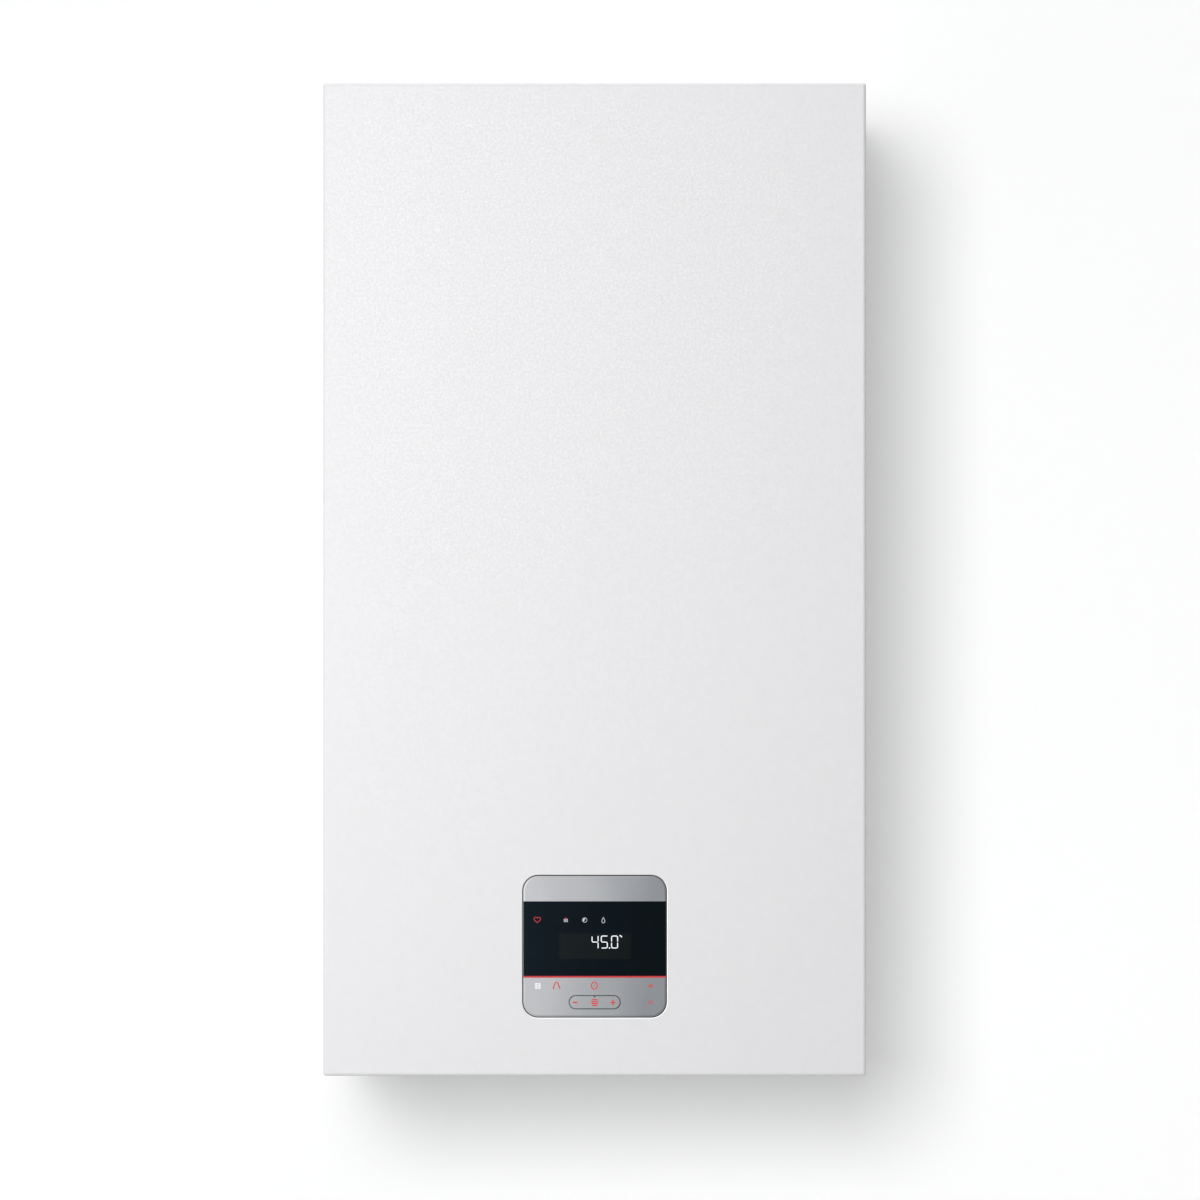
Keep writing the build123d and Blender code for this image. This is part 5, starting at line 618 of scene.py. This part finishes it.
def heart(centre, size):
    """A heart outline about this wide."""
    points = []
    for k in range(36):
        t = TAU * k / 36
        x = 16 * math.sin(t) ** 3
        z = 13 * math.cos(t) - 5 * math.cos(2 * t) - 2 * math.cos(3 * t) - math.cos(4 * t)
        points.append((centre[0] + x * size / 34, centre[1] + (z + 2) * size / 34))
    return points


def drop(centre, width, height, count=28):
    """A drop or flame outline, pointed at the top."""
    points = []
    for k in range(count):
        t = TAU * k / count
        pinch = math.sin(t / 2) ** 1.6
        points.append((centre[0] + width / 2 * math.sin(t) * pinch, centre[1] + height / 2 * math.cos(t)))
    return points


# pictograms in the window, placed in millimetres from the fascia's centre
SIGN_Z = 22.8
HEART_X = -49.7
RADIATOR_X = -25.0
WATER_X = -8.7
WATER_RADIUS = 1.95
FLAME_X = 7.5

on_lens("sign_heart", SIGN_RED).line(heart((HEART_X, SIGN_Z), 6.0), 0.56, closed=True).done()

radiator = on_lens("sign_radiator", SIGN_SOFT)
for offset in (-1.3, 0.0, 1.3):
    radiator.shape(rectangle(RADIATOR_X + offset, SIGN_Z - 0.4, 0.38, 1.4))
radiator.shape(rectangle(RADIATOR_X, SIGN_Z - 0.95, 1.7, 0.25))
radiator.done()
on_lens("sign_radiator_heat", SIGN_RED).shape(rectangle(RADIATOR_X, SIGN_Z + 1.525, 0.9, 0.325)).done()

water = on_lens("sign_water", SIGN_SOFT)
water.line(ring_points((WATER_X, SIGN_Z), WATER_RADIUS, WATER_RADIUS), 0.45, closed=True)
filled = ring_points((WATER_X, SIGN_Z), WATER_RADIUS, WATER_RADIUS, 16, math.pi * 0.35, math.pi * 1.0666)
water.shape(filled)
water.done()

on_lens("sign_flame", SIGN_SOFT).line(drop((FLAME_X, SIGN_Z), 3.8, 4.9), 0.52, closed=True).done()

# touch fields on the lower band
RESET_X, RESET_Z = -0.3, -34.0
RIGHT_X = 48.4

menu = on_fascia("field_menu", INK_WHITE)
for row in range(3):
    for column in range(2):
        menu.shape(rectangle(-50.6 + 2.6 * column, -36.1 + 1.8 * row, 1.1, 0.68))
menu.done()

tap_path = [(-35.6, -37.2), (-35.4, -34.6), (-34.6, -32.4), (-33.3, -31.0)]
tap_path += [(-31.9, -31.6), (-31.2, -34.0), (-29.9, -36.6)]
on_fascia("field_tap", INK_RED).line(tap_path, 0.95).done()

reset = on_fascia("field_reset", INK_RED)
reset.line(ring_points((RESET_X, RESET_Z), 2.55, 3.3, 8, math.pi / 8), 0.9, closed=True)
reset.line([(RESET_X, RESET_Z + 0.8), (RESET_X, RESET_Z - 0.8)], 0.5)
reset.done()

box_sign = on_fascia("field_box", INK_RED)
box_sign.shape(rectangle(RIGHT_X, -35.1, 1.7, 0.4))
flaps = [(-1.4, -34.3), (1.4, -34.3), (1.8, -32.5), (0.0, -33.5), (-1.8, -32.5)]
box_sign.shape([(RIGHT_X + x, z) for x, z in flaps])
box_sign.done()

lines_sign = on_fascia("field_lines", INK_RED)
for z in (-47.9, -49.3):
    lines_sign.shape(rectangle(RIGHT_X - 0.05, z, 2.05, 0.28))
lines_sign.done()

# prints on the rocking key, and the painted shade of its notch
KEY_ROW = -48.6
MINUS_X = -16.8
PLUS_X = 15.9
ARM = 2.1  # half the length of a minus, and of a plus from side to side
THIN = 0.55  # half the thickness of the plus

key_signs = on_key("key_signs", INK_RED)
key_signs.shape(rectangle(MINUS_X, KEY_ROW, ARM, 0.6))
key_signs.shape(rectangle(PLUS_X, KEY_ROW, ARM, THIN))
for up in (1, -1):
    key_signs.shape(rectangle(PLUS_X, KEY_ROW + up * 1.525, 0.5, 0.975))
for row, half in enumerate((2.2, 2.9, 3.0, 2.5)):
    key_signs.shape(rectangle(0.0, KEY_ROW - 2.6 + 1.65 * row, half, 0.5))
key_signs.done()

# painted shade in the key's notch, drawn as a dark triangle
notch = [(-0.9, KEY_ROW + 5.4), (0.9, KEY_ROW + 5.4), (0, KEY_ROW + 3.9)]
on_key("key_notch_shade", NOTCH_SHADE).shape(notch).done()


# ---------------------------------------------------------------- threads and corrugation


def turned(profiles):
    """A skin through closed rings of points, each ring joined to the next."""
    mesh = bmesh.new()
    rings = [[mesh.verts.new(point) for point in ring] for ring in profiles]
    for ring, after in zip(rings, rings[1:]):
        count = len(ring)
        for place in range(count):
            beside = (place + 1) % count
            mesh.faces.new((ring[place], after[place], after[beside], ring[beside]))
    return mesh


def around(axis, radius, turn, height):
    """A point at this height round an upright axis."""
    return (axis.x + radius * math.cos(turn), axis.y + radius * math.sin(turn), height)


THREAD_PITCH = 1.814 * MM
THREAD_TURNS = 8
THREAD_HEIGHT = 0.5 * MM
THREAD_ROOT = -0.1 * MM  # the ridge's foot lies this far inside the pipe
THREAD_FOOT = 0.34  # half the foot's width, in pitches
THREAD_CREST = 0.06  # half the crest's width, in pitches
THREAD_CLEAR = 1.6 * MM  # from the pipe's end to the first turn
THREAD_STEPS = 36  # sections in one turn


def thread(name, centre, radius, slot):
    """The ridge of a pipe thread, run out at both ends."""
    total = THREAD_TURNS * THREAD_STEPS
    sections = []
    for step in range(total + 1):
        turn = TAU * step / THREAD_STEPS
        run_out = min(1.0, step / THREAD_STEPS, (total - step) / THREAD_STEPS)
        height = centre.z + THREAD_CLEAR + THREAD_PITCH * (0.5 + step / THREAD_STEPS)
        upper = [(THREAD_HEIGHT * run_out, THREAD_CREST), (THREAD_ROOT, THREAD_FOOT)]
        lower = [(reach, -shift) for reach, shift in reversed(upper)]
        section = []
        for reach, shift in lower + upper:
            section.append(around(centre, radius + reach, turn, height + shift * THREAD_PITCH))
        sections.append(section)
    return new_piece(name, turned(sections), finish_for(slot), "casing")


THREADED = {
    "heating_flow": "brass",
    "heating_return": "brass",
    "hot_water": "copper",
    "cold_water": "copper",
    "gas_inlet": "steel_pipe",
    "condensate_outlet": "grey_plastic",
}
for mount in frame["record"]["mounts"]:
    name = mount["name"]
    if name in THREADED:
        thread("thread_" + name, Vector(mount["pos_m"]), mount["dims"]["r_mm"] * MM, THREADED[name])

HOSE_PITCH = 4.2 * MM
HOSE_RISE = 0.9 * MM
HOSE_PLAIN = 14 * MM  # length of each plain end
HOSE_STEPS = 32
# one rib: shares of the pitch, each with its share of the rise
HOSE_RIB = ((0.0, -0.1), (0.2, 0.75), (0.35, 1.0), (0.55, 1.0), (0.7, 0.75), (0.9, -0.1))


def hose_rings():
    """Rings up the condensate hose, which is corrugated between its plain ends."""
    low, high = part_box("condensate_hose")
    middle = (low + high) / 2
    radius = (high.x - low.x) / 2
    rings = []
    height = low.z + HOSE_PLAIN
    while height < high.z - HOSE_PLAIN - HOSE_PITCH:
        for share, rise in HOSE_RIB:
            out, level = radius + HOSE_RISE * rise, height + share * HOSE_PITCH
            rings.append([around(middle, out, TAU * k / HOSE_STEPS, level) for k in range(HOSE_STEPS)])
        height += HOSE_PITCH
    return rings


new_piece("hose_ribs", turned(hose_rings()), finish_for("rubber"), "casing")


# ---------------------------------------------------------------- room, light and camera

WALL_Y = 0.002  # just behind the object's back
WALL_COLOUR = (0.93, 0.93, 0.93)
WALL_GLOW = 0.225
FLOOR_Z = -1.9
FLOOR_COLOUR = (0.64, 0.64, 0.63)
ROOM = 5.0  # reach of wall and floor from the middle
FRONT_DEPTH = -cad_low.y
VIEW_WIDTH = 1.0394  # width of the picture at the front panel
CAMERA_X = 0.0046
CAMERA_Z = -0.3878
CAMERA_DISTANCE = 7.46  # from the front panel
SENSOR = 36.0  # millimetres


def backdrop(name, corners, colour, glow):
    """A plain plane that is seen only from its front."""
    mesh = bpy.data.meshes.new(name)
    mesh.from_pydata(corners, [], [range(len(corners))])
    plane = bpy.data.objects.new(name, mesh)
    scene.collection.objects.link(plane)
    material = bpy.data.materials.new(name)
    material.use_nodes = True
    nodes, links = material.node_tree.nodes, material.node_tree.links
    nodes.clear()
    diffuse = nodes.new("ShaderNodeBsdfDiffuse")
    diffuse.inputs["Color"].default_value = (*colour, 1)
    emission = nodes.new("ShaderNodeEmission")
    emission.inputs["Color"].default_value = (1, 1, 1, 1)
    emission.inputs["Strength"].default_value = glow
    both = nodes.new("ShaderNodeAddShader")
    clear = nodes.new("ShaderNodeBsdfTransparent")
    sides = nodes.new("ShaderNodeMixShader")
    geometry = nodes.new("ShaderNodeNewGeometry")
    output = nodes.new("ShaderNodeOutputMaterial")
    links.new(diffuse.outputs[0], both.inputs[0])
    links.new(emission.outputs[0], both.inputs[1])
    links.new(geometry.outputs["Backfacing"], sides.inputs["Fac"])
    links.new(both.outputs[0], sides.inputs[1])
    links.new(clear.outputs[0], sides.inputs[2])
    links.new(sides.outputs[0], output.inputs["Surface"])
    mesh.materials.append(material)
    plane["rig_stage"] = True
    return plane


backdrop(
    "wall",
    [(-ROOM, WALL_Y, FLOOR_Z), (ROOM, WALL_Y, FLOOR_Z), (ROOM, WALL_Y, ROOM), (-ROOM, WALL_Y, ROOM)],
    WALL_COLOUR,
    WALL_GLOW,
)
backdrop(
    "floor",
    [(-ROOM, WALL_Y, FLOOR_Z), (-ROOM, -ROOM, FLOOR_Z), (ROOM, -ROOM, FLOOR_Z), (ROOM, WALL_Y, FLOOR_Z)],
    FLOOR_COLOUR,
    0.0,
)

world = bpy.data.worlds.new("studio")
scene.world = world
world.use_nodes = True
world_nodes, world_links = world.node_tree.nodes, world.node_tree.links
ambient = world_nodes["Background"]
ambient.inputs["Color"].default_value = (0.96, 0.98, 1.0, 1)
ambient.inputs["Strength"].default_value = 0.22
seen = world_nodes.new("ShaderNodeBackground")
seen.inputs["Color"].default_value = (0.90, 0.91, 0.92, 1)
path = world_nodes.new("ShaderNodeLightPath")
choice = world_nodes.new("ShaderNodeMixShader")
world_links.new(path.outputs["Is Camera Ray"], choice.inputs["Fac"])
world_links.new(ambient.outputs[0], choice.inputs[1])
world_links.new(seen.outputs[0], choice.inputs[2])
world_links.new(choice.outputs[0], world_nodes["World Output"].inputs["Surface"])


def lamp(name, kind, energy, **values):
    light = bpy.data.lights.new(name, kind)
    light.energy = energy
    for key, value in values.items():
        setattr(light, key, value)
    item = bpy.data.objects.new(name, light)
    scene.collection.objects.link(item)
    return item


def aimed(item, place, target):
    """Puts a lamp at a place and turns it towards a target."""
    item.location = place
    item.rotation_mode = "QUATERNION"
    item.rotation_quaternion = (Vector(target) - Vector(place)).to_track_quat("-Z", "Y")
    return item


key = lamp("key", "AREA", 880.0, shape="DISK", size=2.9)
aimed(key, (-1.15, -FRONT_DEPTH - 12.0, 0.80), (0, -FRONT_DEPTH, -0.4))
side = lamp("side", "AREA", 15.0, shape="RECTANGLE", size=0.8, size_y=1.2)
aimed(side, (-1.0, -2.0, -0.36), (0, -0.45, -0.43))
top = lamp("top", "AREA", 20.0, shape="RECTANGLE", size=1.6, size_y=0.8)
aimed(top, (-0.2, -0.6, 1.9), (0, -0.4, 0))

# side and top light fall on the object alone, so the wall keeps one soft shadow
lit_pieces = bpy.data.collections.new("lit_pieces")
for item in scene.objects:
    if item.type == "MESH" and "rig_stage" not in item:
        lit_pieces.objects.link(item)
for item in (side, top):
    item.light_linking.receiver_collection = lit_pieces

camera_data = bpy.data.cameras.new("camera")
camera_data.sensor_width = SENSOR
camera_data.lens = SENSOR * CAMERA_DISTANCE / VIEW_WIDTH
camera_data.clip_start = 0.1
camera_data.clip_end = 60.0
camera = bpy.data.objects.new("camera", camera_data)
camera.location = (CAMERA_X, -FRONT_DEPTH - CAMERA_DISTANCE, CAMERA_Z)
camera.rotation_euler = (math.pi / 2, 0, 0)
scene.collection.objects.link(camera)
scene.camera = camera

scene.view_settings.view_transform = "Standard"
scene.view_settings.look = "None"
scene.view_settings.exposure = 0.0
scene.view_settings.gamma = 1.0
